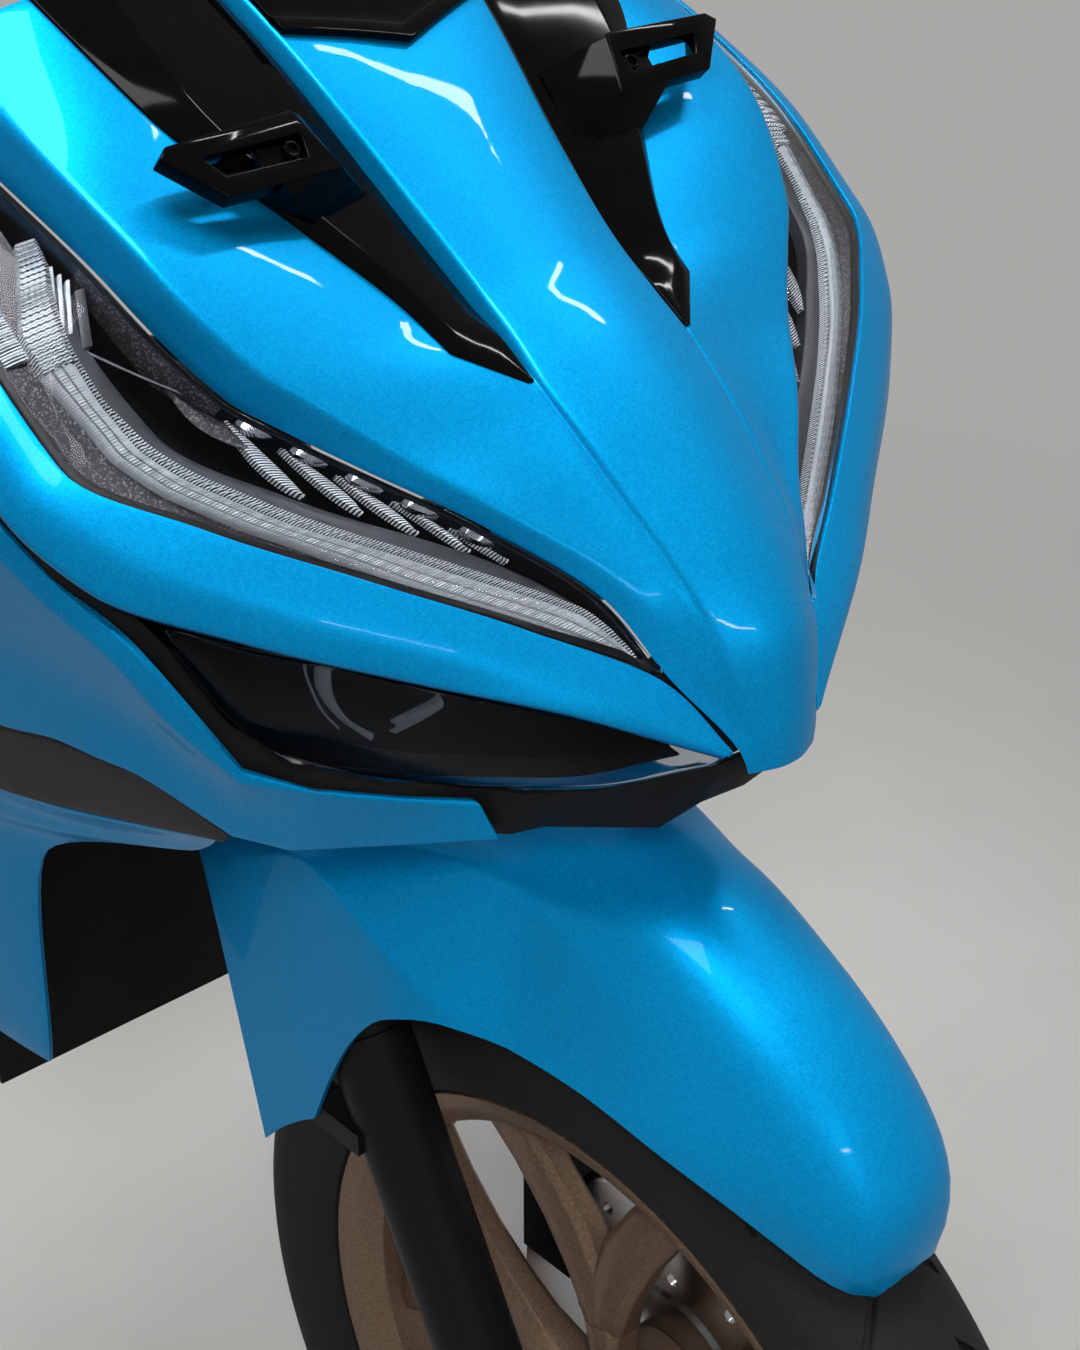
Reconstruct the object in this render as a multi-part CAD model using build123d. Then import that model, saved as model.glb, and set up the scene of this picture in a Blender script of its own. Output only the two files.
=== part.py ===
from build123d import *
import math
import os

# Front end of a motor scooter: nose fairing with its lamps, fork, mudguard and front wheel.
# +X forward, +Y to the rider's left, +Z up, millimetres. Everything is drawn about the
# front axle and moved at the end, so that the origin is the end of the frame's down tube.

# Driving dimensions
MOUNT_X, MOUNT_Z = -440.0, 190.0     # down tube end, from the axle
RAKE = 26.5                          # steering axis from the vertical, degrees
FORK_OFFSET = 35.5                   # axle ahead of the steering axis
NOSE_SLOPE = 45.0                    # slope of the nose's face, degrees

TYRE_R, TYRE_HALF_W = 250.0, 40.0
BEAD_R = 178.0                       # where the tyre sits on the rim
BEAD_HALF_W = 20.0                   # inner edge of the bead
RIM_DEPTH = 15.0                     # bead seat down to the rim's inner face
RIM_WALL = 6.0
RIM_LIP = 6.0
RIM_HALF_W = 27.0
HUB_R, HUB_HALF_W = 27.0, 31.0
SPOKE_FORK_R = 58.0                  # where each spoke splits in two
SPOKE_TURN = 23.0                    # how far each arm leans, degrees
SPOKE_START = 98.0                   # angle of the first spoke
SPOKE_ROOT, SPOKE_END = 12.0, 4.5    # half angles of a spoke's root and of an arm's end
AXLE_R = 6.0
AXLE_FIT = 0.05
SPOKE_SETS = 5

LEG_Y = 66.0
LEG_R = 20.0
TUBE_R = 13.5
LEG_LOW, LEG_TOP = -24.0, 236.0
SEAL_H = 10.0
BRIDGE_LOW, BRIDGE_TOP = 384.0, 412.0
STEM_R = 15.0
STEM_FIT = 0.05
STEM_TOP = 640.0
NECK_R, NECK_H = 14.0, 36.0          # stem's top, where the handlebar clamps
HEAD_LOW, HEAD_TOP = 418.0, 600.0
HEAD_R = 25.0
DOWN_FROM = 490.0                    # down tube's axis meets the steering axis
STAY_FROM = 565.0                    # fairing stay's axis leaves the head tube
DOWN_R, DOWN_WALL = 24.0, 3.0
DISC_R, DISC_T, DISC_Y = 105.0, 4.0, 35.0
DISC_BORE_R = 45.0
CALIPER_GAP = 1.0
CALIPER_IN = 8.0                     # caliper's middle inside the disc's edge
CALIPER_ANGLE = 143.4
CALIPER_SIZE = (34.0, 30.0, 62.0)
HOSE_R, HOSE_DEEP = 5.0, 12.0

WALL = 2.5
LENS_T = 2.5
LENS_CROWN = 3.0                     # lens stands above the straight line across it
CHAMBER_WALL = 2.0
SEAM = 0.6
MUD_WALL = 2.5
GUARD_GAP = 1.0                      # mudguard's cut-out round the fork leg
SKIRT_Y = 91.0
PLATE_N, PLATE_T = 377.0, 8.0        # winglet plate
FOOT_N, FOOT_TOP_N = 357.0, 366.0
VISOR_T = 3.0

# Frames of reference
_rake = math.radians(RAKE)
STEER = Vector(-math.sin(_rake), 0, math.cos(_rake))
STEER_FWD = Vector(math.cos(_rake), 0, math.sin(_rake))
STEER_FOOT = STEER_FWD * -FORK_OFFSET
_slope = math.radians(NOSE_SLOPE)
ALONG = Vector(-math.sin(_slope), 0, math.cos(_slope))
OUT = Vector(math.cos(_slope), 0, math.sin(_slope))
SIDE = Vector(0, -1, 0)


def at(t, w, n):
    """Point on the nose: t up its slope, w out to the rider's right, n out of its face."""
    return ALONG * t + SIDE * w + OUT * n


def xwz(x, w, z):
    """Point from the axle, w being measured out to the rider's right."""
    return Vector(x, -w, z)


def polar(angle, r, w):
    """Point round the axle at an angle above the forward horizontal."""
    a = math.radians(angle)
    return Vector(r * math.cos(a), -w, r * math.sin(a))


def ring_wire(points):
    """Closed wire of straight runs."""
    return Wire.make_polygon(points, close=True)


def layer(rows, ruled=False):
    """Loft of closed sections, each row being the outer points and then the inner ones."""
    return Solid.make_loft([ring_wire(outer + list(reversed(inner))) for outer, inner in rows], ruled)


def ribbon(rows, ruled=True):
    """Loft of thin sections: each row has its outer points and one step to its inner face."""
    return layer([(pts, [p + step for p in pts]) for pts, step in rows], ruled)


def mirrored(shape):
    """The rider's left copy of a right-hand shape."""
    return shape.mirror(Plane.XZ)


def rod(start, end, radius):
    """Cylinder between two points."""
    axis = end - start
    return Solid.make_cylinder(radius, axis.length, Plane(origin=start, z_dir=axis))


def put(name, shape):
    """Write one node, moved so that the origin is the mount."""
    moved = shape.moved(Location((-MOUNT_X, 0, -MOUNT_Z)))
    moved.label = name
    export_step(moved, os.path.join("parts", name + ".step"))


def put_pair(name, shape):
    """Write a right-hand node and its left-hand twin."""
    put(name + "_right", shape)
    put(name + "_left", mirrored(shape))


# Feature lines of the nose, station by station up the slope:
# t, spine n, crease (w n), seat in (w n), seat out (w n), crest (w n), lamp top (w n)
NOSE = [
    (226, 342, (9, 339), (10, 338.4), (11, 337.7), (13, 336.6), (15, 335)),
    (247, 364, (15, 358), (16, 357), (17.5, 355.6), (19, 354), (22, 351)),
    (281, 388, (24, 376), (25.5, 374.5), (29, 369), (35, 361), (39, 357)),
    (320, 391, (30, 381.5), (31.5, 379.2), (35.5, 378.2), (49, 373), (55, 364.5)),
    (360, 388, (35, 380.5), (36.5, 377.6), (41, 377.4), (79, 371), (83, 361)),
    (400, 383, (39, 376), (41, 373.4), (43.5, 373.6), (107, 365), (114, 352.5)),
    (423, 378, (41, 371.4), (44, 366.2), (63.5, 367), (125, 364.5), (132, 348.5)),
    (440, 374, (42, 368), (46, 360.5), (66.5, 363), (138, 364), (144, 345.5)),
    (490, 367, (47, 362), (51, 354), (90, 357.5), (156, 361), (160, 341)),
    (550, 360, (52, 357), (56, 349), (121, 352), (163, 343), (168, 322)),
    (610, 349, (57, 347), (61, 339), (133, 340), (168, 322), (176, 300)),
]
# t, lamp low (w n), strip fold (w n), strip low (w n)
STRIP = [
    (247, (23, 350), (25, 349), (27, 347.5)),
    (281, (40, 356), (58, 354), (73, 348.5)),
    (320, (83, 355), (108, 350), (124, 339)),
    (360, (130, 350), (158, 342), (174, 329)),
    (400, (174, 342), (200, 333), (213, 318)),
    (440, (206, 331), (220, 325), (227, 314)),
    (490, (209, 325), (221, 320), (228, 310)),
    (550, (203, 312), (213, 307), (220, 298)),
    (610, (186, 297), (196, 291), (204, 282)),
]
NOSE_FLOOR_Z = 412.0
# t, height of the garnish's ridge, height of its edge
GARNISH = [(402, 1.2, 0.8), (423, 3.6, 1.6), (440, 6, 2.2), (490, 7, 2.6), (550, 7, 2.8), (610, 7, 3)]
GARNISH_TAIL = (30.0, -6.0)
# Plans on the slope: (t w) corners
PLATE_PLAN = [(529, 75), (526, 139), (500, 125), (494, 83)]
SLOT_PLAN = [(518, 91), (517, 125), (508, 118), (507, 92)]
FOOT_PLAN = [(529, 58), (529, 80), (496, 92), (484, 80), (487, 57)]
FOOT_CUT = [(540, 40), (540, 66), (500, 76), (470, 86), (470, 40)]
VISOR_VEE = [(500, -90), (568, -90), (568, -53), (549, 0), (568, 53), (568, 90), (500, 90)]
VEE_N = (300, 420)
# Visor: t, half width, spine n, fall to its edge
VISOR = [
    (540, 46, 364.6, 3.0),
    (580, 52, 358.0, 2.6),
    (610, 56, 352.5, 2.2),
    (640, 57, 345.5, 3.0),
    (720, 60, 324.0, 6.0),
]
# Lamp: stations up the slope, and depths below the lens
LENS_STATIONS = [286, 320, 360, 400, 440, 490, 550, 598]
LENS_SINK = 0.3
CHAMBER = [(300, 12), (320, 20), (360, 30), (400, 35), (440, 38), (490, 36), (550, 28), (588, 16)]
GUIDE_STATIONS = [318, 340, 360, 400, 440, 490, 550, 580]
GUIDE_FROM, GUIDE_TO, GUIDE_DEEP = 7.0, 23.0, 5.0
BEZEL_STATIONS = [455, 500, 560]
BEZEL_FROM, BEZEL_DEEP = 29.0, 8.0
FIN_PLATE = [335, 360, 400, 440, 448]
FINS = [344, 365, 386, 407, 428]
FIN_DEEP, FIN_TOP, FIN_LEAN = 18.0, 9.0, 5.0


def interp(table, t, column, part):
    """Straight interpolation in a station table."""
    for low, high in zip(table, table[1:]):
        if low[0] <= t <= high[0]:
            f = (t - low[0]) / (high[0] - low[0])
            a = low[column][part]
            b = high[column][part]
            return a + f * (b - a)
    raise ValueError(t)


def lamp_point(t, f, deep):
    """Point across the lamp: f 0 at its low edge, 1 at its top edge, deep below the lens."""
    low_w, low_n = interp(STRIP, t, 1, 0), interp(STRIP, t, 1, 1)
    top_w, top_n = interp(NOSE, t, 6, 0), interp(NOSE, t, 6, 1)
    crown = LENS_CROWN * 4 * f * (1 - f)
    return at(t, low_w + f * (top_w - low_w), low_n + f * (top_n - low_n) + crown - deep)


def lamp_layer(stations, f0, f1, deep0, deep1, steps=3):
    """Layer of a lamp between two depths, over part of its width."""
    rows = []
    for t in stations:
        fs = [f0(t) + (f1(t) - f0(t)) * i / steps for i in range(steps + 1)]
        rows.append(([lamp_point(t, f, deep0) for f in fs], [lamp_point(t, f, deep1) for f in fs]))
    return layer(rows, True)


def lamp_width(t):
    """Width of the lamp at a station."""
    return interp(STRIP, t, 1, 0) - interp(NOSE, t, 6, 0)


def inset(mm):
    """Share of the lamp's width that a length in millimetres takes."""
    return lambda t: mm / max(lamp_width(t), 2 * mm + 1)


def far_inset(mm):
    """The same from the lamp's top edge."""
    return lambda t: 1 - mm / max(lamp_width(t), 2 * mm + 1)


os.makedirs("parts", exist_ok=True)

# Nose cover: centre panel, step down to the garnish's seat, brow, and bevel to the lamp
nose_rows = []
for t, spine, *lines in NOSE:
    outer = [at(t, 0, spine)] + [at(t, w, n) for w, n in lines]
    inner = [at(t, 0, spine - WALL)] + [at(t, w - 0.6, n - WALL) for w, n in lines]
    nose_rows.append((outer, inner))
nose_half = layer(nose_rows, True)
nose = nose_half + mirrored(nose_half)
floor_cut = Box(600, 600, 200, align=(Align.CENTER, Align.CENTER, Align.MAX))
nose = nose - floor_cut.moved(Location((0, 0, NOSE_FLOOR_Z)))
put("nose_cover", nose)

# Lower strip: the painted belt under the lamp
strip_rows = []
for t, *lines in STRIP:
    outer = [at(t, w + SEAM, n) for w, n in lines]
    inner = [at(t, w + SEAM - 0.6, n - WALL) for w, n in lines]
    strip_rows.append((outer, inner))
put_pair("lower_strip", layer(strip_rows, True))

# Garnish strips on their seats
garnish_rows = []
for t, ridge, edge in GARNISH:
    in_w, in_n = interp(NOSE, t, 3, 0) + 0.5, interp(NOSE, t, 3, 1) + 0.3
    out_w, out_n = interp(NOSE, t, 4, 0) - 0.5, interp(NOSE, t, 4, 1) + 0.3
    mid_w, mid_n = in_w + 0.4 * (out_w - in_w), in_n + 0.4 * (out_n - in_n)
    top = [at(t, in_w, in_n + edge + 1), at(t, mid_w, mid_n + ridge), at(t, out_w, out_n + edge)]
    garnish_rows.append((top, [at(t, in_w, in_n), at(t, mid_w, mid_n), at(t, out_w, out_n)]))
last_top, last_low = garnish_rows[-1]
tail = ALONG * GARNISH_TAIL[0] + OUT * GARNISH_TAIL[1]
garnish_rows.append(([p + tail for p in last_top], [p + tail for p in last_low]))
garnish = layer(garnish_rows, True)
put_pair("garnish", garnish)

# Winglets: a slotted plate on a foot that stands on the garnish

def slab(plan, low, high):
    """Prism over a plan on the nose's slope."""
    base = Face(ring_wire([at(t, w, low) for t, w in plan]))
    return extrude(base, amount=high - low, dir=OUT)


winglet = slab(PLATE_PLAN, PLATE_N - PLATE_T, PLATE_N)
foot = slab(FOOT_PLAN, FOOT_N, PLATE_N) - slab(FOOT_CUT, FOOT_TOP_N, PLATE_N + 1)
winglet = winglet + foot - slab(SLOT_PLAN, PLATE_N - PLATE_T - 1, PLATE_N + 1)
winglet = (winglet - garnish - nose).solids().sort_by(SortBy.VOLUME)[-1]
put_pair("winglet", winglet)

# Visor above the V of the centre panel
visor_rows = []
for t, half, spine, drop in VISOR:
    outer = [at(t, -half, spine - drop), at(t, -half * 0.5, spine - drop * 0.25), at(t, 0, spine),
             at(t, half * 0.5, spine - drop * 0.25), at(t, half, spine - drop)]
    visor_rows.append((outer, [p - OUT * VISOR_T for p in outer]))
visor = layer(visor_rows, True) - slab(VISOR_VEE, *VEE_N) - nose
put("visor", visor)

# Headlamps
lens = lamp_layer(LENS_STATIONS, inset(1), far_inset(1), LENS_SINK, LENS_SINK + LENS_T, 4)
put_pair("headlamp_lens", lens)

housing_rows = []
chamber_rows = []
for t, depth in CHAMBER:
    lens_under = LENS_SINK + LENS_T + 0.2
    edge = inset(2)(t)
    low = lamp_point(t, edge, lens_under)
    top = lamp_point(t, 1 - edge, lens_under)
    deep_low = lamp_point(t, edge + 0.02, depth)
    deep_top = lamp_point(t, 1 - edge - 0.04, depth)
    housing_rows.append(([low, top], [deep_low, deep_top]))
    chamber_rows.append((low, top, deep_low, deep_top))
housing = layer([([a, b], [c, d]) for (a, b), (c, d) in housing_rows], True)
hollow = []
for low, top, deep_low, deep_top in chamber_rows:
    across = (top - low).normalized() * CHAMBER_WALL
    hollow.append(([low + across + OUT * 2, top - across + OUT * 2],
                   [deep_low + across + OUT * CHAMBER_WALL, deep_top - across + OUT * CHAMBER_WALL]))
hollow[0] = tuple([p + ALONG * CHAMBER_WALL for p in side] for side in hollow[0])
hollow[-1] = tuple([p - ALONG * CHAMBER_WALL for p in side] for side in hollow[-1])
housing = housing - layer(hollow, True)
put_pair("headlamp_housing", housing)

guide = lamp_layer(GUIDE_STATIONS, inset(GUIDE_FROM), inset(GUIDE_TO), GUIDE_DEEP, 2 * GUIDE_DEEP, 2)
put_pair("light_guide", guide)

bezel = lamp_layer(BEZEL_STATIONS, inset(BEZEL_FROM), far_inset(GUIDE_FROM), BEZEL_DEEP, BEZEL_DEEP + 2, 1)
put_pair("lamp_bezel", bezel)

fins = lamp_layer(FIN_PLATE, lambda t: 0.5, far_inset(GUIDE_FROM), FIN_DEEP, FIN_DEEP + 2, 1)
for t in FINS:
    stand = [lamp_point(t, 0.52, FIN_DEEP + 1), lamp_point(t, 0.88, FIN_DEEP + 1)]
    head = [lamp_point(t + FIN_LEAN, 0.56, FIN_TOP), lamp_point(t + FIN_LEAN, 0.86, FIN_TOP)]
    fin = layer([(stand, [p + ALONG * 2 for p in stand]), (head, [p + ALONG * 2 for p in head])], True)
    fins = fins + fin
fins = (fins - housing).solids().sort_by(SortBy.VOLUME)[-1]
put_pair("lamp_reflector", fins)

# Turn-signal lens, from the strip's lower edge down to the chin
TURN = [
    ((72, 24, 423), (60, 25, 410)),
    ((54, 60, 438), (37, 60, 405)),
    ((37, 90, 451), (8, 89, 404)),
    ((15, 121, 463), (-20, 119, 409)),
    ((-6, 150, 475), (-38, 148, 422)),
    ((-24, 176, 485), (-42, 170, 446)),
    ((-38, 195, 494), (-45, 191, 483)),
]
inward = Vector(-2.5, 0, 0)
turn_drop = Vector(-2, 0, -1.5)
put_pair("turn_lens", ribbon([([xwz(*a) + turn_drop, xwz(*b)], inward) for a, b in TURN]))

# Chin trim: from side to side under the turn signals, and up behind each side cover's top edge
CHIN = [
    ((62, 0, 408), (58, 0, 390), (-4.0, 0.0)),
    ((60, 22, 409), (56, 22, 391), (-4.0, 0.0)),
    ((52, 34, 408), (46, 35, 380), (-4.0, 0.0)),
    ((36, 60, 403), (14, 66, 379), (-4.0, 0.0)),
    ((18, 80, 402), (8, 78, 378), (-4.0, 0.0)),
    ((0, 90, 402), (-2, 88.5, 379), (-4.0, 0.0)),
    ((-19, 117, 407), (-14, 115, 399), (-4.0, 0.0)),
    ((-37, 147, 420), (-30.5, 144.5, 408), (-4.0, 0.0)),
    ((-44, 169, 443), (-42, 166.5, 420.5), (-3.5, 0.5)),
    ((-50, 187, 478), (-50, 187.5, 451), (-2.5, 2.0)),
    ((-62, 203, 504), (-58, 202.5, 478), (-1.5, 2.5)),
    ((-93, 214, 527), (-84, 209.5, 492), (0.0, 2.5)),
    ((-131, 217, 558), (-116, 214, 506), (0.0, 2.5)),
    ((-178, 208, 592), (-190, 217.5, 538), (0.0, 2.5)),
]
chin_half = ribbon([([xwz(*a), xwz(*b)], Vector(d[0], d[1], 0)) for a, b, d in CHIN])
put("chin_trim", chin_half + mirrored(chin_half))

# Side cover: front lip under the turn signal, folding back along the side
SIDE_COVER = [
    ((6, 93, 399), (9, 85, 379), (-2.5, 0.0)),
    ((-7, 116, 404), (-24, 114, 373), (-2.4, 0.6)),
    ((-23, 146, 413), (-48, 142, 372), (-2.3, 1.0)),
    ((-36, 171, 425), (-64, 158, 378), (-1.8, 1.8)),
    ((-43, 193, 458), (-92, 187, 409), (-1.0, 2.3)),
    ((-52, 208, 486), (-121, 195, 411), (-0.8, 2.4)),
    ((-82, 215, 500), (-158, 200, 404), (0.0, 2.5)),
    ((-112, 220, 516), (-215, 203, 395), (0.0, 2.5)),
    ((-190, 224, 548), (-285, 205, 385), (0.0, 2.5)),
]
put_pair("side_cover", ribbon([([xwz(*a), xwz(*b)], Vector(d[0], d[1], 0)) for a, b, d in SIDE_COVER]))

INSERT = [
    ((-66, 158, 377), (-69, 158, 373)),
    ((-93, 186, 407), (-116, 178.5, 370.4)),
    ((-122, 194, 409), (-150, 190, 367)),
    ((-159, 199, 402), (-178, 196, 364)),
    ((-216, 202, 393), (-232, 200, 358)),
    ((-286, 204, 383), (-300, 202, 350)),
]
put_pair("side_insert", ribbon([([xwz(*a), xwz(*b)], Vector(0, 3, 0)) for a, b in INSERT]))

LEG_SHIELD = [
    ((-74, 158, 372.2), (-150, 189.5, 366.2), (-300, 202, 349.3)),
    ((-98, 151, 352), (-165, 178, 342), (-345, 196, 320)),
    ((-198, 165, 308), (-260, 178, 300), (-362, 190, 292)),
    ((-250, 150, 150), (-310, 161, 158), (-400, 168, 160)),
]
shield_step = Vector(0, 2.5, 0)
shield = ribbon([([xwz(*row[0]), xwz(*row[1])], shield_step) for row in LEG_SHIELD])
shield = shield + ribbon([([xwz(*row[1]), xwz(*row[2])], shield_step) for row in LEG_SHIELD])
put_pair("leg_shield", shield)

# Splash panel behind the wheel
SPLASH = [(-288, 186, 335), (-292, 168, 250), (-300, 154, 150), (-310, 145, 94)]
splash_half = ribbon([([xwz(x, 0, z), xwz(x - 4, w, z)], Vector(-3, 0, 0)) for x, w, z in SPLASH])
splash_half = splash_half - shield

# Frame: head tube, down tube and cross tube
CROSS_AT = Vector(-345, 0, 306)
CROSS_HALF, CROSS_R = 194.0, 8.0
BORE_FROM = 60.0
STAY_TO = (452, 0, 372)
STAY_R = 9.0
BAR_SHARE = 0.74
BAR_HALF, BAR_R = 185.0, 6.0
head = rod(STEER_FOOT + STEER * HEAD_LOW, STEER_FOOT + STEER * HEAD_TOP, HEAD_R)
down_start = STEER_FOOT + STEER * DOWN_FROM
down_end = Vector(MOUNT_X, 0, MOUNT_Z)
down = rod(down_start, down_end, DOWN_R)
stem_bore = rod(STEER_FOOT + STEER * (HEAD_LOW - 1), STEER_FOOT + STEER * (HEAD_TOP + 1), STEM_R + STEM_FIT)
down_dir = (down_end - down_start).normalized()
down_bore = rod(down_start + down_dir * BORE_FROM, down_end + down_dir, DOWN_R - DOWN_WALL)
cross = rod(CROSS_AT - SIDE * CROSS_HALF, CROSS_AT + SIDE * CROSS_HALF, CROSS_R)
frame = head + down + cross - stem_bore - down_bore - shield - mirrored(shield)
frame = frame.solids().sort_by(SortBy.VOLUME)[-1]
put("frame_tube", frame)
splash = splash_half + mirrored(splash_half) - frame
put("splash_panel", splash.solids().sort_by(SortBy.VOLUME)[-1])

# Fairing stay: beam from the head tube to the nose, and a bar to the lamp housings
beam_start = STEER_FOOT + STEER * STAY_FROM + STEER_FWD * (HEAD_R - 3)
beam_end = at(*STAY_TO)
beam = rod(beam_start, beam_end, STAY_R)
bar_at = beam_start + (beam_end - beam_start) * BAR_SHARE
bar = rod(bar_at - SIDE * BAR_HALF, bar_at + SIDE * BAR_HALF, BAR_R)
stay = beam + bar - frame - nose - housing - mirrored(housing)
stay = stay.solids().sort_by(SortBy.VOLUME)[-1]
put("fairing_stay", stay)

# Steering: stem with lower bridge
neck_low = STEER_FOOT + STEER * (STEM_TOP - NECK_H)
stem = rod(STEER_FOOT + STEER * BRIDGE_LOW, neck_low, STEM_R)
stem = stem + rod(neck_low, STEER_FOOT + STEER * STEM_TOP, NECK_R)
# Its plan: (forward, side) corners from the legs' line
BRIDGE_PLAN = [
    (20, LEG_Y + 12), (20, -LEG_Y - 12), (-18, -LEG_Y - 12),
    (-FORK_OFFSET - 26, -24), (-FORK_OFFSET - 26, 24), (-18, LEG_Y + 12),
]
bridge_at = STEER * BRIDGE_LOW
bridge_face = Face(ring_wire([bridge_at + STEER_FWD * f + SIDE * s for f, s in BRIDGE_PLAN]))
bridge = extrude(bridge_face, amount=BRIDGE_TOP - BRIDGE_LOW, dir=STEER)
stem = stem + bridge
for side in (1, -1):
    foot_point = SIDE * (LEG_Y * side)
    stem = stem - rod(foot_point + STEER * (BRIDGE_LOW - 1), foot_point + STEER * (BRIDGE_TOP + 1), TUBE_R)
put("steering_stem", stem)

# Fork legs and axle
TUBE_DEEP = 120.0
LUG_SIZE = (46.0, 16.0, 12.0)        # lug that carries the mudguard
LUG_AT = (-109.0, 165.0)
BRACKET_SIZE = (60.0, 10.0, 44.0)    # lug that carries the caliper
BRACKET_FWD = 14.0
NUT_R, NUT_H = 10.0, 8.0
COLLAR_R, HUB_GAP = 10.0, 0.5
leg_foot = SIDE * LEG_Y
tube_low = leg_foot + STEER * (LEG_TOP - TUBE_DEEP)
seal_low = leg_foot + STEER * LEG_TOP
seal_top = leg_foot + STEER * (LEG_TOP + SEAL_H)
put_pair("fork_tube", rod(tube_low, leg_foot + STEER * (BRIDGE_TOP + 4), TUBE_R))
put_pair("dust_seal", rod(seal_low, seal_top, TUBE_R + 4) - rod(seal_low, seal_top, TUBE_R))
tube_bore = rod(tube_low, seal_top, TUBE_R)
lug_at = (LUG_AT[0], -(SKIRT_Y - MUD_WALL - LUG_SIZE[1] / 2), LUG_AT[1])
guard_lug = Box(*LUG_SIZE).moved(Location(lug_at))
axle_hole = Solid.make_cylinder(AXLE_R, 4 * LEG_Y, Plane(origin=(0, 2 * LEG_Y, 0), z_dir=(0, -1, 0)))
lower = rod(leg_foot + STEER * LEG_LOW, seal_low, LEG_R) + guard_lug - tube_bore - axle_hole
put("fork_leg_right", lower)
caliper_at = polar(CALIPER_ANGLE, DISC_R - CALIPER_IN, 0)
lug_y = DISC_Y + 2 + (CALIPER_SIZE[1] + BRACKET_SIZE[1]) / 2
caliper_lug = Box(*BRACKET_SIZE).moved(Location((caliper_at.X + BRACKET_FWD, lug_y, caliper_at.Z)))
put("fork_leg_left", mirrored(lower) + caliper_lug - mirrored(tube_bore) - axle_hole)

axle_end = LEG_Y + LEG_R + 6
axle = Solid.make_cylinder(AXLE_R, 2 * axle_end, Plane(origin=(0, axle_end, 0), z_dir=(0, -1, 0)))
nut_plane = Plane(origin=(0, -LEG_Y - LEG_R, 0), z_dir=(0, -1, 0))
axle = axle + extrude(nut_plane * RegularPolygon(NUT_R, 6), amount=NUT_H)
for side in (1, -1):
    collar_plane = Plane(origin=(0, side * (HUB_HALF_W + HUB_GAP), 0), z_dir=(0, side, 0))
    axle = axle + Solid.make_cylinder(COLLAR_R, LEG_Y - LEG_R - HUB_HALF_W - HUB_GAP, collar_plane)
put("axle", axle)

# Mudguard: angle round the axle, crown r, shoulder (w r), crease (w r), fold (w r), edge (w r)
MUDGUARD = [
    (52, 262, (12, 261), (17, 259), (17.6, 257.5), (18, 256)),
    (53.5, 277, (18, 273), (25, 264), (26.4, 258.5), (27, 255)),
    (56, 292, (24, 285), (33, 268), (33.7, 259), (34, 254)),
    (60, 304, (29, 296), (38.5, 274), (39.8, 260), (40, 253)),
    (66, 317, (31, 307), (42, 283), (47, 262), (48, 253)),
    (74, 328, (34, 317), (44, 291), (54, 263), (56, 253)),
    (84, 340, (35, 329), (48, 307), (57, 262), (60, 253)),
    (92, 343, (36, 332), (50, 326), (63, 264), (65, 255)),
    (96.5, 344, (39, 334), (54, 332), (83, 275), (83.5, 267)),
    (103, 345, (46, 337), (64, 335), (90, 301), (90.5, 262)),
    (110, 348, (62, 341), (82, 337), (90.6, 331), (SKIRT_Y, 244)),
    (117, 350, (75, 345), (88, 339), (90.6, 330), (SKIRT_Y, 222)),
    (125, 350, (80, 346), (90, 338), (90.6, 329), (SKIRT_Y, 201)),
]
GUARD_TAB = [(125, 201), (141, 201), (127.5, 300), (125, 329)]
mud_rows = []
for angle, crown, *lines in MUDGUARD:
    outer = [polar(angle, crown, 0)] + [polar(angle, r, w) for w, r in lines]
    inner = [polar(angle, crown - MUD_WALL, 0)]
    inner = inner + [polar(angle, r - MUD_WALL * 0.6, w - MUD_WALL) for w, r in lines]
    mud_rows.append((outer, inner))
mud_half = layer(mud_rows, True)
tab = Face(ring_wire([polar(angle, r, SKIRT_Y) for angle, r in GUARD_TAB]))
mud_half = mud_half + extrude(tab, amount=MUD_WALL, dir=(0, 1, 0))
mud_half = mud_half - rod(leg_foot, leg_foot + STEER * BRIDGE_LOW, LEG_R + GUARD_GAP) - guard_lug
put("mudguard", mud_half + mirrored(mud_half))

# Caliper on the left leg, over the disc
caliper = Box(*CALIPER_SIZE).moved(Location((caliper_at.X, DISC_Y + 2, caliper_at.Z)))
slot_plane = Plane(origin=(0, DISC_Y + DISC_T / 2 + CALIPER_GAP, 0), z_dir=(0, -1, 0))
disc_slot = Solid.make_cylinder(DISC_R + 3, DISC_T + 2 * CALIPER_GAP, slot_plane)
hose_inlet = (caliper_at.X - CALIPER_SIZE[0] / 2, DISC_Y + 11, caliper_at.Z)
hose_hole = Solid.make_cylinder(HOSE_R, HOSE_DEEP, Plane(origin=hose_inlet, z_dir=(1, 0, 0)))
put("caliper", caliper - disc_slot - hose_hole)


# Wheel
def turned(profile):
    """Solid of revolution about the axle from (r, y) points."""
    face = Face(ring_wire([Vector(r, y, 0) for r, y in profile]))
    return revolve(face, Axis.Y, 360)


def both_sides(half):
    """Symmetrical profile from its right-hand half, inner end first."""
    return [(r, -y) for r, y in half] + [(r, y) for r, y in reversed(half)]


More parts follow.
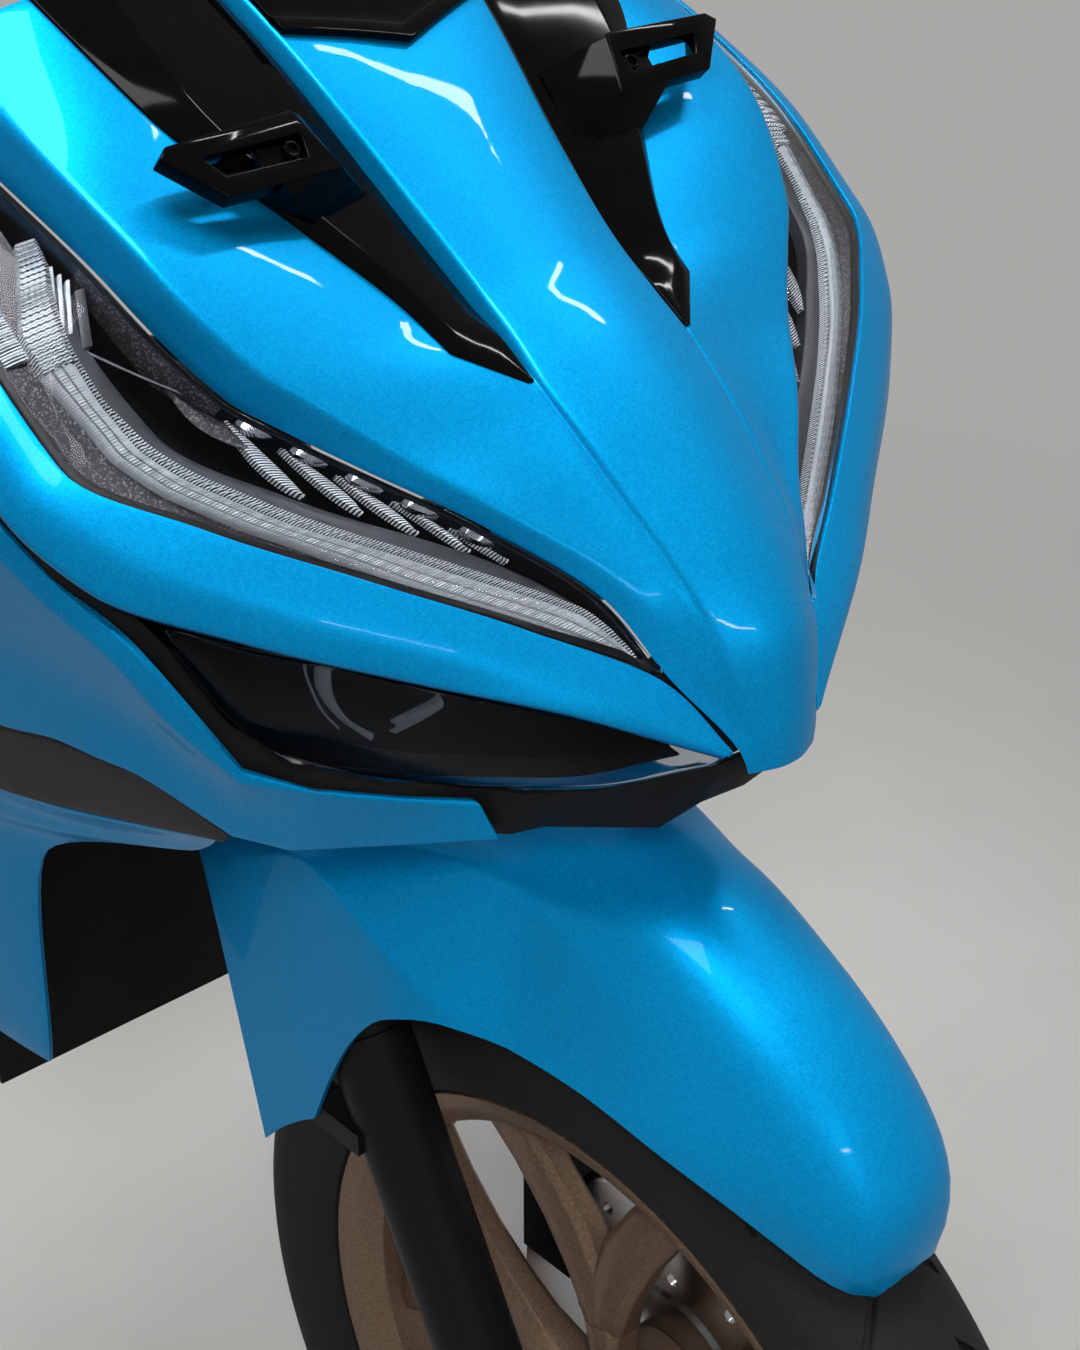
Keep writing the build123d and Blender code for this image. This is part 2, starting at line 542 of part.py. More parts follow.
# Half profiles (r y), from the bead to the middle of the tread and back inside
TYRE_OUTER = [
    (BEAD_R, BEAD_HALF_W), (BEAD_R, RIM_HALF_W), (BEAD_R + 6.5, RIM_HALF_W), (BEAD_R + 8, 32), (BEAD_R + 12, 34),
    (BEAD_R + 32, 39), (TYRE_R - 24, TYRE_HALF_W), (TYRE_R - 10, 31), (TYRE_R - 3, 18), (TYRE_R, 0),
]
TYRE_INNER = [
    (TYRE_R - 8, 0), (TYRE_R - 10, 14), (TYRE_R - 22, 31), (BEAD_R + 34, 32), (BEAD_R + 14, 26),
]
tyre_outer = [(r, -y) for r, y in TYRE_OUTER] + [(r, y) for r, y in reversed(TYRE_OUTER[:-1])]
tyre_inner = [(r, y) for r, y in reversed(TYRE_INNER)] + [(r, -y) for r, y in TYRE_INNER[1:]]
put("tyre", turned(tyre_outer + tyre_inner))

rim_inner_r = BEAD_R - RIM_DEPTH
rim_flange_r = BEAD_R - RIM_WALL
RIM_OUTSIDE = [
    (rim_inner_r, 18), (rim_flange_r, RIM_HALF_W - 4), (rim_flange_r, RIM_HALF_W),
    (BEAD_R + RIM_LIP, RIM_HALF_W + 4), (BEAD_R + RIM_LIP, RIM_HALF_W + 1), (BEAD_R, RIM_HALF_W),
    (BEAD_R, BEAD_HALF_W), (rim_inner_r + 6, 14),
]
rim = turned(both_sides(RIM_OUTSIDE))
hub_bore_r = AXLE_R + AXLE_FIT
hub = turned(both_sides([(hub_bore_r, HUB_HALF_W), (HUB_R, HUB_HALF_W)]))
rim = rim + hub
hub_root = HUB_R - 3
arm_root = SPOKE_FORK_R - 6
arm_end = rim_inner_r + 3
for k in range(SPOKE_SETS):
    base = SPOKE_START + 360 * k / SPOKE_SETS
    trunk = [polar(base - SPOKE_ROOT, hub_root, 0), polar(base + SPOKE_ROOT, hub_root, 0)]
    trunk = trunk + [polar(base + SPOKE_ROOT, SPOKE_FORK_R, 0), polar(base - SPOKE_ROOT, SPOKE_FORK_R, 0)]
    plans = [(trunk, 15)]
    for turn in (-SPOKE_TURN, SPOKE_TURN):
        arm = [polar(base - SPOKE_ROOT, arm_root, 0), polar(base + SPOKE_ROOT, arm_root, 0)]
        arm = arm + [polar(base + turn + side * SPOKE_END, arm_end, 0) for side in (1, -1)]
        plans.append((arm, 11))
    for plan, half in plans:
        face = Face(ring_wire([p + Vector(0, -half, 0) for p in plan]))
        rim = rim + extrude(face, amount=2 * half, dir=(0, 1, 0))
put("wheel_rim", rim)

disc_in, disc_out = DISC_Y - DISC_T / 2, DISC_Y + DISC_T / 2
disc = turned([(DISC_BORE_R, disc_in), (DISC_R, disc_in), (DISC_R, disc_out), (DISC_BORE_R, disc_out)])
carrier_in, carrier_out = HUB_R - 6, DISC_BORE_R + 5
carrier = turned([(carrier_in, HUB_HALF_W), (carrier_out, HUB_HALF_W), (carrier_out, disc_in), (carrier_in, disc_in)])
put("brake_disc", disc + carrier)
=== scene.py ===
"""Front end of a motor scooter: nose fairing with its lamps, fork, mudguard and wheel.

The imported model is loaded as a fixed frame, and the pieces that show are modelled over it.
Sizes are in millimetres from the front axle, as in the part's own source, and one function
turns them to metres in the row's frame.
"""
import logging
import math
from collections.abc import Callable, Iterable, Sequence
from dataclasses import dataclass, field
from enum import Enum

import bpy
from mathutils import Matrix, Vector


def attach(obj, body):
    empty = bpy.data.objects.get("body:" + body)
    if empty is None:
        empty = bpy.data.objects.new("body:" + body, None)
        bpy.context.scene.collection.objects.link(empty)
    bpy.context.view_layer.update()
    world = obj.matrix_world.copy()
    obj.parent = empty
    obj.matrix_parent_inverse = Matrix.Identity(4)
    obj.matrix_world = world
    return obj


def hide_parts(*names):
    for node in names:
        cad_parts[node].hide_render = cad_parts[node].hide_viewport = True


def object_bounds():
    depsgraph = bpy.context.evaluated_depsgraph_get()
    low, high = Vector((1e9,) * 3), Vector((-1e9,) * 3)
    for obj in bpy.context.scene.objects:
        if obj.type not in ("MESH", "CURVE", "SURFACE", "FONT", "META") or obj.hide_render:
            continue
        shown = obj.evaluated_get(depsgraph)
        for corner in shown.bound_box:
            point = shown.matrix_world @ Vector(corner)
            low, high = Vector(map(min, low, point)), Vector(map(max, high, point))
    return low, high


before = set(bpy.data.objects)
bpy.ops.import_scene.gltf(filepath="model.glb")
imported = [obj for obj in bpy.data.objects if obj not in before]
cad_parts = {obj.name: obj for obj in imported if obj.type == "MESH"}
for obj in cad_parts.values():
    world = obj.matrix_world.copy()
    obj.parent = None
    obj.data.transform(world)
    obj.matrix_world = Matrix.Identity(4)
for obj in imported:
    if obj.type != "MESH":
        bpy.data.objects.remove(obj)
CAD_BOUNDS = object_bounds()

logging.basicConfig(level=logging.INFO, format="%(message)s")
log = logging.getLogger("scooter")

MM = 0.001
ROOT2 = math.sqrt(2.0)
# The front axle in the row's frame, the rake of the steering and how far the axle leads it, mm
AXLE = Vector((0.44, 0.0, -0.19))
RAKE = math.radians(26.5)
FORK_OFFSET = 35.5
STEER = Vector((-math.sin(RAKE), 0.0, math.cos(RAKE)))
STEER_FWD = Vector((math.cos(RAKE), 0.0, math.sin(RAKE)))
# Out of the nose's slope, up, forward and to the rider's right
OUT = Vector((1.0, 0.0, 1.0)).normalized()
UP = Vector((0.0, 0.0, 1.0))
FORWARD = Vector((1.0, 0.0, 0.0))
RIGHT = Vector((0.0, -1.0, 0.0))
# Spans of an eased corner, and the most of a run that its easing takes
ARC = 4
MOST_EASE = 0.45
# Points nearer than this are one: in closed pieces and in sheets, m
WELD = 1e-6
SHEET_WELD = 2e-6
# Degrees up to which a piece or a sheet is shaded smooth, and from which a sheet's rim is rounded
CRISP = 35.0
SOFT = 50.0
RIM_TURN = 62.0
# Body and slots that several pieces share
FAIRING = "fairing_frame"
PAINTED = "pearl_blue_paint"
GLOSSY = "gloss_black_plastic"
MATTE = "matte_black_plastic"
FLAKED = "dark_flake_plastic"
CLEAR = "clear_lens"

Piece = bpy.types.Object
Tree = bpy.types.NodeTree
Numbers = Sequence[float]
Row = list[Vector]
Station = tuple[float, Row]
Pair = tuple[float, float]
Triple = tuple[float, float, float]


# ---------------------------------------------------------------- places and smooth lines
def spot(x: float, w: float, z: float) -> Vector:
    """Point x ahead of the axle, w out to the rider's right and z above it, in metres."""
    return AXLE + Vector((x, -w, z)) * MM


def on_nose(t: float, w: float, n: float) -> Vector:
    """Point t up the nose's slope, w out to the right and n out of its face."""
    return spot((n - t) / ROOT2, w, (n + t) / ROOT2)


def round_axle(angle: float, r: float, w: float) -> Vector:
    """Point at an angle above the forward horizontal and a radius from the axle."""
    a = math.radians(angle)
    return spot(r * math.cos(a), w, r * math.sin(a))


def smooth_value(keys: Numbers, values: Numbers, key: float, corners: Numbers = ()) -> float:
    """Read a smooth line through stations that never swings past them.

    Args:
        keys: where the stations are.
        values: the line's value at each station.
        key: where to read it.
        corners: stations at which the line turns a corner.

    Returns:
        The line's value at the key.
    """
    steps = [b - a for a, b in zip(keys, keys[1:])]
    rises = [(b - a) / s for a, b, s in zip(values, values[1:], steps)]
    i = min(sum(key > k for k in keys[1:]), len(steps) - 1)

    def tangent(j: int) -> float:
        """Slope of the line at a station.

        Args:
            j: number of the station.

        Returns:
            The slope, 0 where the line turns back.
        """
        if j in (0, len(steps)) or keys[j] in corners:
            return rises[i]
        before, after = rises[j - 1], rises[j]
        return 0.0 if before * after <= 0 else 2 * before * after / (before + after)

    s = (key - keys[i]) / steps[i]
    low, high = values[i], values[i + 1]
    lead, trail = tangent(i) * steps[i], tangent(i + 1) * steps[i]
    return (
        low * (2 * s**3 - 3 * s**2 + 1)
        + lead * (s**3 - 2 * s**2 + s)
        + high * (3 * s**2 - 2 * s**3)
        + trail * (s**3 - s**2)
    )


def column(table: Sequence[Sequence], index: int, key: float) -> float:
    """Read one column of a table of numbers, smoothly, at a key of its first column."""
    return smooth_value([row[0] for row in table], [row[index] for row in table], key)


def spaced(first: float, last: float, step: float, corners: Numbers = ()) -> list[float]:
    """Stations from first to last, about step apart, with one at each corner.

    Args:
        first: the first station.
        last: the last station.
        step: the spacing aimed at.
        corners: stations that have to be among them.

    Returns:
        The stations.
    """
    marks = [first, *[c for c in corners if first < c < last], last]
    made = [float(first)]
    for a, b in zip(marks, marks[1:]):
        count = max(1, round(abs(b - a) / step))
        made.extend(a + (b - a) * i / count for i in range(1, count + 1))
    return made


def paced(path: Callable[[float], Vector], first: float, last: float, pace: float) -> list[float]:
    """Stations at which a path has gone on by one more pace, in mm.

    Args:
        path: gives the path's point at a key.
        first: key of its start.
        last: key of its end.
        pace: length of a pace, mm.

    Returns:
        The keys of the stations.
    """
    steps = max(1, round(abs(last - first) / (0.2 * pace)))
    made, gone, before = [float(first)], 0.0, path(first)
    for i in range(1, steps + 1):
        key = first + (last - first) * i / steps
        point = path(key)
        gone += (point - before).length / MM
        before = point
        if gone >= pace:
            made.append(key)
            gone -= pace
    return made


def drawn(rows: Sequence[Station], step: float, corners: Numbers = ()) -> list[Station]:
    """Draw smooth feature lines through the stations of a panel.

    Args:
        rows: each station's key and its points.
        step: spacing of the new rows, in the keys' unit.
        corners: stations at which the lines turn a corner.

    Returns:
        The key and the points of each new row.
    """
    keys = [key for key, _ in rows]
    lines = [[[row[c][a] for _, row in rows] for a in range(3)] for c in range(len(rows[0][1]))]

    def point(line: Sequence[Numbers], key: float) -> Vector:
        """One point of a new row, read off its three smooth lines."""
        return Vector([smooth_value(keys, values, key, corners) for values in line])

    stations = spaced(keys[0], keys[-1], step, corners)
    return [(key, [point(line, key) for line in lines]) for key in stations]


def moulded(rows: Sequence[Station], step: float, eases: Numbers, crowns: Numbers, out: Vector,
            fill: int = 4, corners: Numbers = ()) -> list[Row]:
    """Draw feature lines through stations and turn each new row into a moulded section."""
    return [section(row, eases, crowns, out, fill) for _, row in drawn(rows, step, corners)]


def numbered(table: Sequence[Sequence[Triple]]) -> list[Station]:
    """Stations 0, 1, 2 and so on from rows of (x, w, z) points."""
    return [(float(i), [spot(*point) for point in points]) for i, points in enumerate(table)]


def section(points: Row, eases: Numbers, crowns: Numbers, out: Vector, fill: int = 4) -> Row:
    """Turn feature points into one moulded section: corners eased, runs crowned.

    Args:
        points: the feature points across the panel.
        eases: how far each inner corner is eased along its runs, mm.
        crowns: how far the middle of each run stands out, mm.
        out: the way out of the panel's face.
        fill: spans in each run.

    Returns:
        The points of the section.
    """
    made: Row = []
    last = len(points) - 2
    for i in range(last + 1):
        start, end = points[i], points[i + 1]
        length = max((end - start).length, 0.1 * WELD)
        lead = min(MOST_EASE, eases[i - 1] * MM / length) if i else 0.0
        trail = min(MOST_EASE, eases[i] * MM / length) if i < last else 0.0
        run = []
        for k in range(fill + 1):
            f = lead + (1 - lead - trail) * k / fill
            run.append(start.lerp(end, f) + out * (crowns[i] * MM * 4 * f * (1 - f)))
        if i:
            a, c = made[-1], run[0]
            for k in range(1, ARC):
                s = k / ARC
                made.append(a * (1 - s) ** 2 + start * (2 * s * (1 - s)) + c * s**2)
        made.extend(run)
    return made


def mirrored(row: Row) -> Row:
    """The same points on the other side."""
    return [Vector((p.x, -p.y, p.z)) for p in row]


def both_sides(row: Row) -> Row:
    """A whole section from its right half, whose first point is on the middle plane."""
    return mirrored(row[:0:-1]) + list(row)


# ---------------------------------------------------------------- modelling by operators
def clear_selection() -> None:
    """Deselect everything, outside of edit mode."""
    if bpy.context.object and bpy.context.object.mode != "OBJECT":
        leave_edit()
    bpy.ops.object.select_all(action="DESELECT")


def leave_edit() -> None:
    """Go back to object mode."""
    bpy.ops.object.mode_set(mode="OBJECT")


def take(*pieces: Piece) -> None:
    """Select only these pieces, with the first one active.

    Args:
        *pieces: the pieces to select.
    """
    clear_selection()
    for piece in pieces:
        piece.select_set(True)
    bpy.context.view_layer.objects.active = pieces[0]


def primitive(kind: str, name: str, **settings: object) -> Piece:
    """Add a mesh primitive as a named piece.

    Args:
        kind: the primitive, as the operator's name has it.
        name: the piece's name.
        **settings: the operator's settings.

    Returns:
        The new piece.
    """
    clear_selection()
    getattr(bpy.ops.mesh, f"primitive_{kind}_add")(**settings)
    piece = bpy.context.object
    piece.name = piece.data.name = name
    return piece


def choose(piece: Piece, test: Callable[[Vector, Vector], bool]) -> None:
    """Open a piece in face mode with the faces selected that pass a test of centre and normal.

    Args:
        piece: the piece to open.
        test: tells from a face's centre and normal whether it is selected.
    """
    take(piece)
    bpy.context.tool_settings.mesh_select_mode = (False, False, True)
    mesh = piece.data
    mesh.vertices.foreach_set("select", [False] * len(mesh.vertices))
    mesh.edges.foreach_set("select", [False] * len(mesh.edges))
    mesh.polygons.foreach_set("select", [bool(test(f.center, f.normal)) for f in mesh.polygons])
    bpy.ops.object.mode_set(mode="EDIT")


def everything(piece: Piece) -> None:
    """Open a piece in edit mode with all of it selected.

    Args:
        piece: the piece to open.
    """
    take(piece)
    bpy.ops.object.mode_set(mode="EDIT")
    bpy.ops.mesh.select_all(action="SELECT")


def close_up(piece: Piece) -> Piece:
    """Merge doubles, turn every face out and leave edit mode.

    Args:
        piece: a closed piece.

    Returns:
        The same piece.
    """
    everything(piece)
    bpy.ops.mesh.remove_doubles(threshold=WELD)
    bpy.ops.mesh.normals_make_consistent(inside=False)
    leave_edit()
    return piece


def modify(piece: Piece, kind: str, **settings: object) -> Piece:
    """Add one modifier with its settings and apply it.

    Args:
        piece: the piece to modify.
        kind: the modifier's type.
        **settings: its settings.

    Returns:
        The same piece.
    """
    take(piece)
    modifier = piece.modifiers.new(kind.title(), kind)
    for key, value in settings.items():
        setattr(modifier, key, value)
    bpy.ops.object.modifier_apply(modifier=modifier.name)
    return piece


def thicken(piece: Piece, wall: float) -> Piece:
    """Give an open sheet its wall, in mm, inwards."""
    return modify(piece, "SOLIDIFY", thickness=wall * MM, offset=-1.0)


def round_edges(piece: Piece, width: float, segments: int, angle: float) -> Piece:
    """Bevel the edges that turn by more than an angle, width in mm.

    Args:
        piece: the piece to bevel.
        width: width of the bevel.
        segments: its segments.
        angle: the least turn that is bevelled, in degrees.

    Returns:
        The same piece.
    """
    return modify(
        piece, "BEVEL", width=width * MM, segments=segments, limit_method="ANGLE",
        angle_limit=math.radians(angle),
    )


def soften(piece: Piece, width: float, segments: int = 2, angle: float = CRISP) -> Piece:
    """Bevel the sharp edges of a piece, width in mm, and shade it smooth."""
    return smooth(round_edges(piece, width, segments, angle))


def smooth(piece: Piece, angle: float = CRISP) -> Piece:
    """Shade a piece smooth up to an angle.

    Args:
        piece: the piece to shade.
        angle: degrees up to which an edge is smooth.

    Returns:
        The same piece.
    """
    take(piece)
    bpy.ops.object.shade_smooth_by_angle(angle=math.radians(angle))
    return piece


def lay_grid(name: str, rows: Sequence[Row]) -> Piece:
    """Lay a grid primitive over rows of points, with its UV map in metres along and across.

    Args:
        name: the piece's name.
        rows: rows of points, all of one length.

    Returns:
        The open sheet.
    """
    cols = len(rows[0])
    piece = primitive("grid", name, x_subdivisions=cols - 1, y_subdivisions=len(rows) - 1, size=1)
    mesh = piece.data
    mesh.vertices.foreach_set("co", [c for row in rows for p in row for c in p])
    middle = cols // 2
    along = [0.0]
    for a, b in zip(rows, rows[1:]):
        along.append(along[-1] + (b[middle] - a[middle]).length)
    across = []
    for row in rows:
        run = [0.0]
        for a, b in zip(row, row[1:]):
            run.append(run[-1] + (b - a).length)
        across.append(run)
    layer = mesh.uv_layers.active.data
    for loop in mesh.loops:
        r, c = divmod(loop.vertex_index, cols)
        layer[loop.index].uv = (along[r], across[r][c])
    mesh.update()
    return piece


def face_away(piece: Piece, inside: Vector) -> Piece:
    """Turn an open sheet so that its faces look away from a point.

    Args:
        piece: the sheet.
        inside: the point that it looks away from.

    Returns:
        The same piece.
    """
    faces = piece.data.polygons
    if sum(f.normal.dot(f.center - inside) * f.area for f in faces) < 0:
        piece.data.flip_normals()
    return piece


def panel(name: str, rows: Sequence[Row], inside: Vector, wall: float, rim: float = 0.35) -> Piece:
    """Mould a sheet of even wall over rows of points.

    Args:
        name: the piece's name.
        rows: the points of its outer face.
        inside: a point that the outer face looks away from.
        wall: wall thickness, mm, inwards.
        rim: rounding of its rim, mm, or 0 for none.

    Returns:
        The finished piece.
    """
    piece = lay_grid(name, rows)
    everything(piece)
    bpy.ops.mesh.remove_doubles(threshold=SHEET_WELD)
    bpy.ops.mesh.normals_make_consistent(inside=False)
    leave_edit()
    thicken(face_away(piece, inside), wall)
    if rim:
        round_edges(piece, rim, 2, RIM_TURN)
    return smooth(piece, SOFT)


def twin(right: Piece, name: str) -> Piece:
    """The rider's left copy of a right-hand piece, with its own mesh.

    Args:
        right: the right-hand piece.
        name: the copy's name.

    Returns:
        The left-hand piece.
    """
    take(right)
    bpy.ops.object.duplicate()
    left = bpy.context.object
    left.name = left.data.name = name
    for vertex in left.data.vertices:
        vertex.co.y = -vertex.co.y
    left.data.flip_normals()
    return left


def join(name: str, pieces: Sequence[Piece]) -> Piece:
    """Join pieces into one.

    Args:
        name: the whole's name.
        pieces: the pieces, none of which stays on its own.

    Returns:
        The whole.
    """
    take(*pieces)
    bpy.ops.object.join()
    whole = bpy.context.object
    whole.name = whole.data.name = name
    return whole


def cut(piece: Piece, tool: Piece) -> Piece:
    """Cut a closed tool out of a piece and remove the tool.

    Args:
        piece: the piece to cut.
        tool: what is cut out of it.

    Returns:
        The same piece.
    """
    modify(piece, "BOOLEAN", object=tool, operation="DIFFERENCE", solver="EXACT")
    bpy.data.objects.remove(tool)
    return piece


def block(name: str, low: Sequence[Vector], high: Sequence[Vector]) -> Piece:
    """Shape a cube primitive into a block between two four-cornered faces in the same order.

    Args:
        name: the piece's name.
        low: corners of one face.
        high: corners of the other.

    Returns:
        The block.
    """
    piece = primitive("cube", name, size=1)
    for vertex in piece.data.vertices:
        x, y, z = (c > 0 for c in vertex.co)
        corner = {(False, False): 0, (True, False): 1, (True, True): 2, (False, True): 3}[(x, y)]
        vertex.co = (high if z else low)[corner]
    return close_up(piece)


def slab(name: str, plan: Sequence[Pair], low: float, high: float) -> Piece:
    """Extrude a plan of (t, w) corners on the nose's slope between two heights.

    Args:
        name: the piece's name.
        plan: its corners.
        low: n of its lower face.
        high: n of its upper face.

    Returns:
        The slab.
    """
    piece = primitive("circle", name, vertices=len(plan), fill_type="NGON")
    for vertex, (t, w) in zip(piece.data.vertices, plan):
        vertex.co = on_nose(t, w, low)
    everything(piece)
    bpy.ops.mesh.extrude_region_move(TRANSFORM_OT_translate={"value": OUT * (high - low) * MM})
    return close_up(piece)


def turned(name: str, profile: Sequence[Pair], steps: int) -> Piece:
    """Spin a closed profile of (radius, side) points about the axle.

    Args:
        name: the piece's name.
        profile: the profile's points, in order.
        steps: spans in a full turn.

    Returns:
        The turned piece.
    """
    piece = primitive("circle", name, vertices=len(profile), fill_type="NOTHING")
    for vertex, (r, y) in zip(piece.data.vertices, profile):
        vertex.co = AXLE + Vector((r, y, 0)) * MM
    everything(piece)
    bpy.ops.mesh.spin(steps=steps, angle=math.tau, center=AXLE, axis=(0, 1, 0))
    return close_up(piece)


def on_both_sides(half: Sequence[Pair]) -> list[Pair]:
    """Closed profile of (radius, side) points from its half on one side."""
    return [(r, -y) for r, y in half] + [(r, y) for r, y in reversed(half)]


def rod(name: str, start: Vector, end: Vector, radius: float, sides: int = 32) -> Piece:
    """Round bar between two points, radius in mm.

    Args:
        name: the piece's name.
        start: middle of one end.
        end: middle of the other.
        radius: its radius.
        sides: how many flats stand for its round.

    Returns:
        The bar.
    """
    axis = end - start
    piece = primitive("cylinder", name, vertices=sides, radius=radius * MM, depth=axis.length)
    turn = axis.to_track_quat("Z", "Y").to_matrix().to_4x4()
    piece.data.transform(Matrix.Translation((start + end) / 2) @ turn)
    return piece


# ---------------------------------------------------------------- finishes
def linear(code: str) -> tuple[float, float, float, float]:
    """Linear colour of an sRGB hex value.

    Args:
        code: the hex value, with its leading hash.

    Returns:
        The colour as red, green, blue and alpha.
    """
    parts = [int(code[i : i + 2], 16) / 255 for i in (1, 3, 5)]
    r, g, b = (c / 12.92 if c <= 0.04045 else ((c + 0.055) / 1.055) ** 2.4 for c in parts)
    return (r, g, b, 1.0)


def blank_tree(owner: bpy.types.Material | bpy.types.World) -> Tree:
    """The emptied node tree of a new material or world.

    Args:
        owner: the material or world.

    Returns:
        Its tree.
    """
    owner.use_nodes = True
    owner.node_tree.nodes.clear()
    return owner.node_tree


def put(tree: Tree, kind: str, settings: dict, feeds: dict | None = None) -> bpy.types.Node:
    """Add one node with its settings and what feeds it.

    Args:
        tree: the material's node tree.
        kind: the node's type, without its ShaderNode prefix.
        settings: its properties, and its sockets' values by name or number.
        feeds: the outputs linked to its sockets, by name or number.

    Returns:
        The node.
    """
    node = tree.nodes.new("ShaderNode" + kind)
    for key, value in settings.items():
        if isinstance(key, int) or key in node.inputs:
            node.inputs[key].default_value = value
        else:
            setattr(node, key, value)
    for socket, output in (feeds or {}).items():
        tree.links.new(output, node.inputs[socket])
    return node


class Pattern(Enum):
    """How a surface varies."""

    GRAIN = "cloudy grain of a moulded or cast skin"
    FLAKE = "separate flakes"
    BRUSHED = "fine lines across the piece"
    # Bands along the piece's UV length: painted highlights on rib crests and painted shade in their
    # gaps
    PAINTED_RIB_SHADE = "ribs along the piece's own length"


@dataclass(frozen=True)
class Finish:
    """A finish: two colours that a pattern mixes, and how it takes light; in the rib pattern the
    colours are painted highlight and painted shade.
    """

    name: str
    colour: str
    second: str
    pattern: Pattern
    # size of the pattern, mm
    size: float
    # least roughness, and how much the pattern adds
    roughness: float
    swing: float
    # height of the pattern, mm
    relief: float = 0.0
    metallic: float = 0.0
    ior: float = 1.5
    # weight of the clear coat, its orange peel in mm and its index
    coat: float = 0.0
    peel: float = 0.0
    coat_ior: float = 1.5
    # how much light goes through, and how much the surface throws back
    clear: float = 0.0
    gloss: float = 0.5
    # share of the surface that takes the second colour
    share: float = 0.5

    def make(self) -> bpy.types.Material:
        """Build the finish's node material.

        Returns:
            The material.
        """
        material = bpy.data.materials.new(self.name)
        tree = blank_tree(material)
        place = put(tree, "TexCoord", {})
        # The rib pattern lays painted highlight and painted shade in bands along the piece's UV
        # length
        ribbed = self.pattern is Pattern.PAINTED_RIB_SHADE
        scale = 1 / (self.size * MM)
        stretch = {Pattern.BRUSHED: (scale, scale / 30, scale)}.get(self.pattern, (scale,) * 3)
        source = {"Vector": place.outputs["UV" if ribbed else "Object"]}
        vector = {"Vector": put(tree, "Mapping", {"Scale": stretch}, source).outputs[0]}
        if self.pattern is Pattern.FLAKE:
            cells = put(tree, "TexVoronoi", {"Scale": 1.0}, vector)
            value = put(tree, "SeparateColor", {}, {0: cells.outputs["Color"]}).outputs[0]
        elif ribbed:
            # Wave bands: painted highlight on each rib's crest, painted shade between the ribs
            wave = {"Scale": 1 / math.pi, "bands_direction": "X"}
            value = put(tree, "TexWave", wave, vector).outputs["Fac"]
        else:
            value = put(tree, "TexNoise", {"Scale": 1.0, "Detail": 3.0}, vector).outputs["Fac"]
        turnover = {"From Min": 0.8 - self.share, "From Max": 1.2 - self.share}
        spread = put(tree, "MapRange", turnover, {0: value}).outputs[0]
        colours = {"data_type": "RGBA", 6: linear(self.colour), 7: linear(self.second)}
        blend = put(tree, "Mix", colours, {0: spread})
        between = {"To Min": self.roughness, "To Max": min(1.0, self.roughness + self.swing)}
        rough = put(tree, "MapRange", between, {0: value})
        feeds = {"Base Color": blend.outputs[2], "Roughness": rough.outputs[0]}
        if self.relief:
            bump = {"Strength": 0.6, "Distance": self.relief * MM}
            feeds["Normal"] = put(tree, "Bump", bump, {"Height": value}).outputs[0]
        if self.peel:
            everywhere = {"Vector": place.outputs["Object"]}
            broad = put(tree, "TexNoise", {"Scale": 160.0, "Detail": 1.0}, everywhere)
            bump = {"Strength": 0.35, "Distance": self.peel * MM}
            height = {"Height": broad.outputs["Fac"]}
            feeds["Coat Normal"] = put(tree, "Bump", bump, height).outputs[0]
        surface = {
            "Metallic": self.metallic, "IOR": self.ior, "Specular IOR Level": self.gloss,
            "Coat Weight": self.coat, "Coat Roughness": 0.02, "Coat IOR": self.coat_ior,
            "Transmission Weight": self.clear,
        }
        shader = put(tree, "BsdfPrincipled", surface, feeds).outputs[0]
        if self.clear > 0.5:
            # Light passes a clear moulding without its caustics, so what lies behind it stays lit
            ray = put(tree, "LightPath", {}).outputs["Is Shadow Ray"]
            open_way = put(tree, "BsdfTransparent", {"Color": linear(self.colour)}).outputs[0]
            shader = put(tree, "MixShader", {}, {0: ray, 1: shader, 2: open_way}).outputs[0]
        put(tree, "OutputMaterial", {}, {"Surface": shader})
        return material


# Metallic acrylic enamel sprayed on ABS, under a polished clear coat: fine flakes and sharp glints
PEARL_BLUE = Finish(
    "pearl_enamel_blue_sprayed", "#018FD2", "#04A5E6", Pattern.FLAKE, 0.35, 0.38, 0.12,
    metallic=0.65, ior=1.05, coat=0.2, peel=0.02, coat_ior=1.36,
)
# ABS moulded against a polished steel mould: black, with soft waves in its reflections
PIANO_BLACK = Finish(
    "abs_black_high_gloss", "#040405", "#070708", Pattern.GRAIN, 14.0, 0.05, 0.04, gloss=0.07
)
# Polypropylene with a spark-eroded texture: matte, slightly grey
MATTE_BLACK = Finish(
    "polypropylene_black_textured", "#0B0B0C", "#121214", Pattern.GRAIN, 0.8, 0.55, 0.15,
    relief=0.08, gloss=0.2,
)
# Polypropylene moulded smooth for a lamp's inside: very dark
CHAMBER_BLACK = Finish(
    "polypropylene_black_satin", "#050506", "#09090A", Pattern.GRAIN, 6.0, 0.35, 0.1, gloss=0.1
)
# Polypropylene moulded with a leather-like grain: dark grey
GRAIN_GREY = Finish(
    "polypropylene_grey_grained", "#2A2A2C", "#37373A", Pattern.GRAIN, 1.6, 0.5, 0.2, relief=0.25,
    gloss=0.3,
)
# Polycarbonate with a hard coat: clear and sharp
CLEAR_LENS = Finish(
    "polycarbonate_clear_hard_coated", "#FAFCFF", "#F2F6FA", Pattern.GRAIN, 40.0, 0.0, 0.01,
    ior=1.12, clear=1.0,
)
# Smoked polycarbonate: what lies behind it is a few stops darker
SMOKED_LENS = Finish(
    "polycarbonate_smoked", "#C4C8CE", "#B9BDC3", Pattern.GRAIN, 40.0, 0.01, 0.01,
    ior=1.12, clear=1.0,
)
# Black urethane bead that seals the lens to its housing: a dull black line
SEAL_BLACK = Finish(
    "urethane_seal_black", "#040405", "#070708", Pattern.GRAIN, 3.0, 0.3, 0.1, relief=0.05,
    gloss=0.2,
)
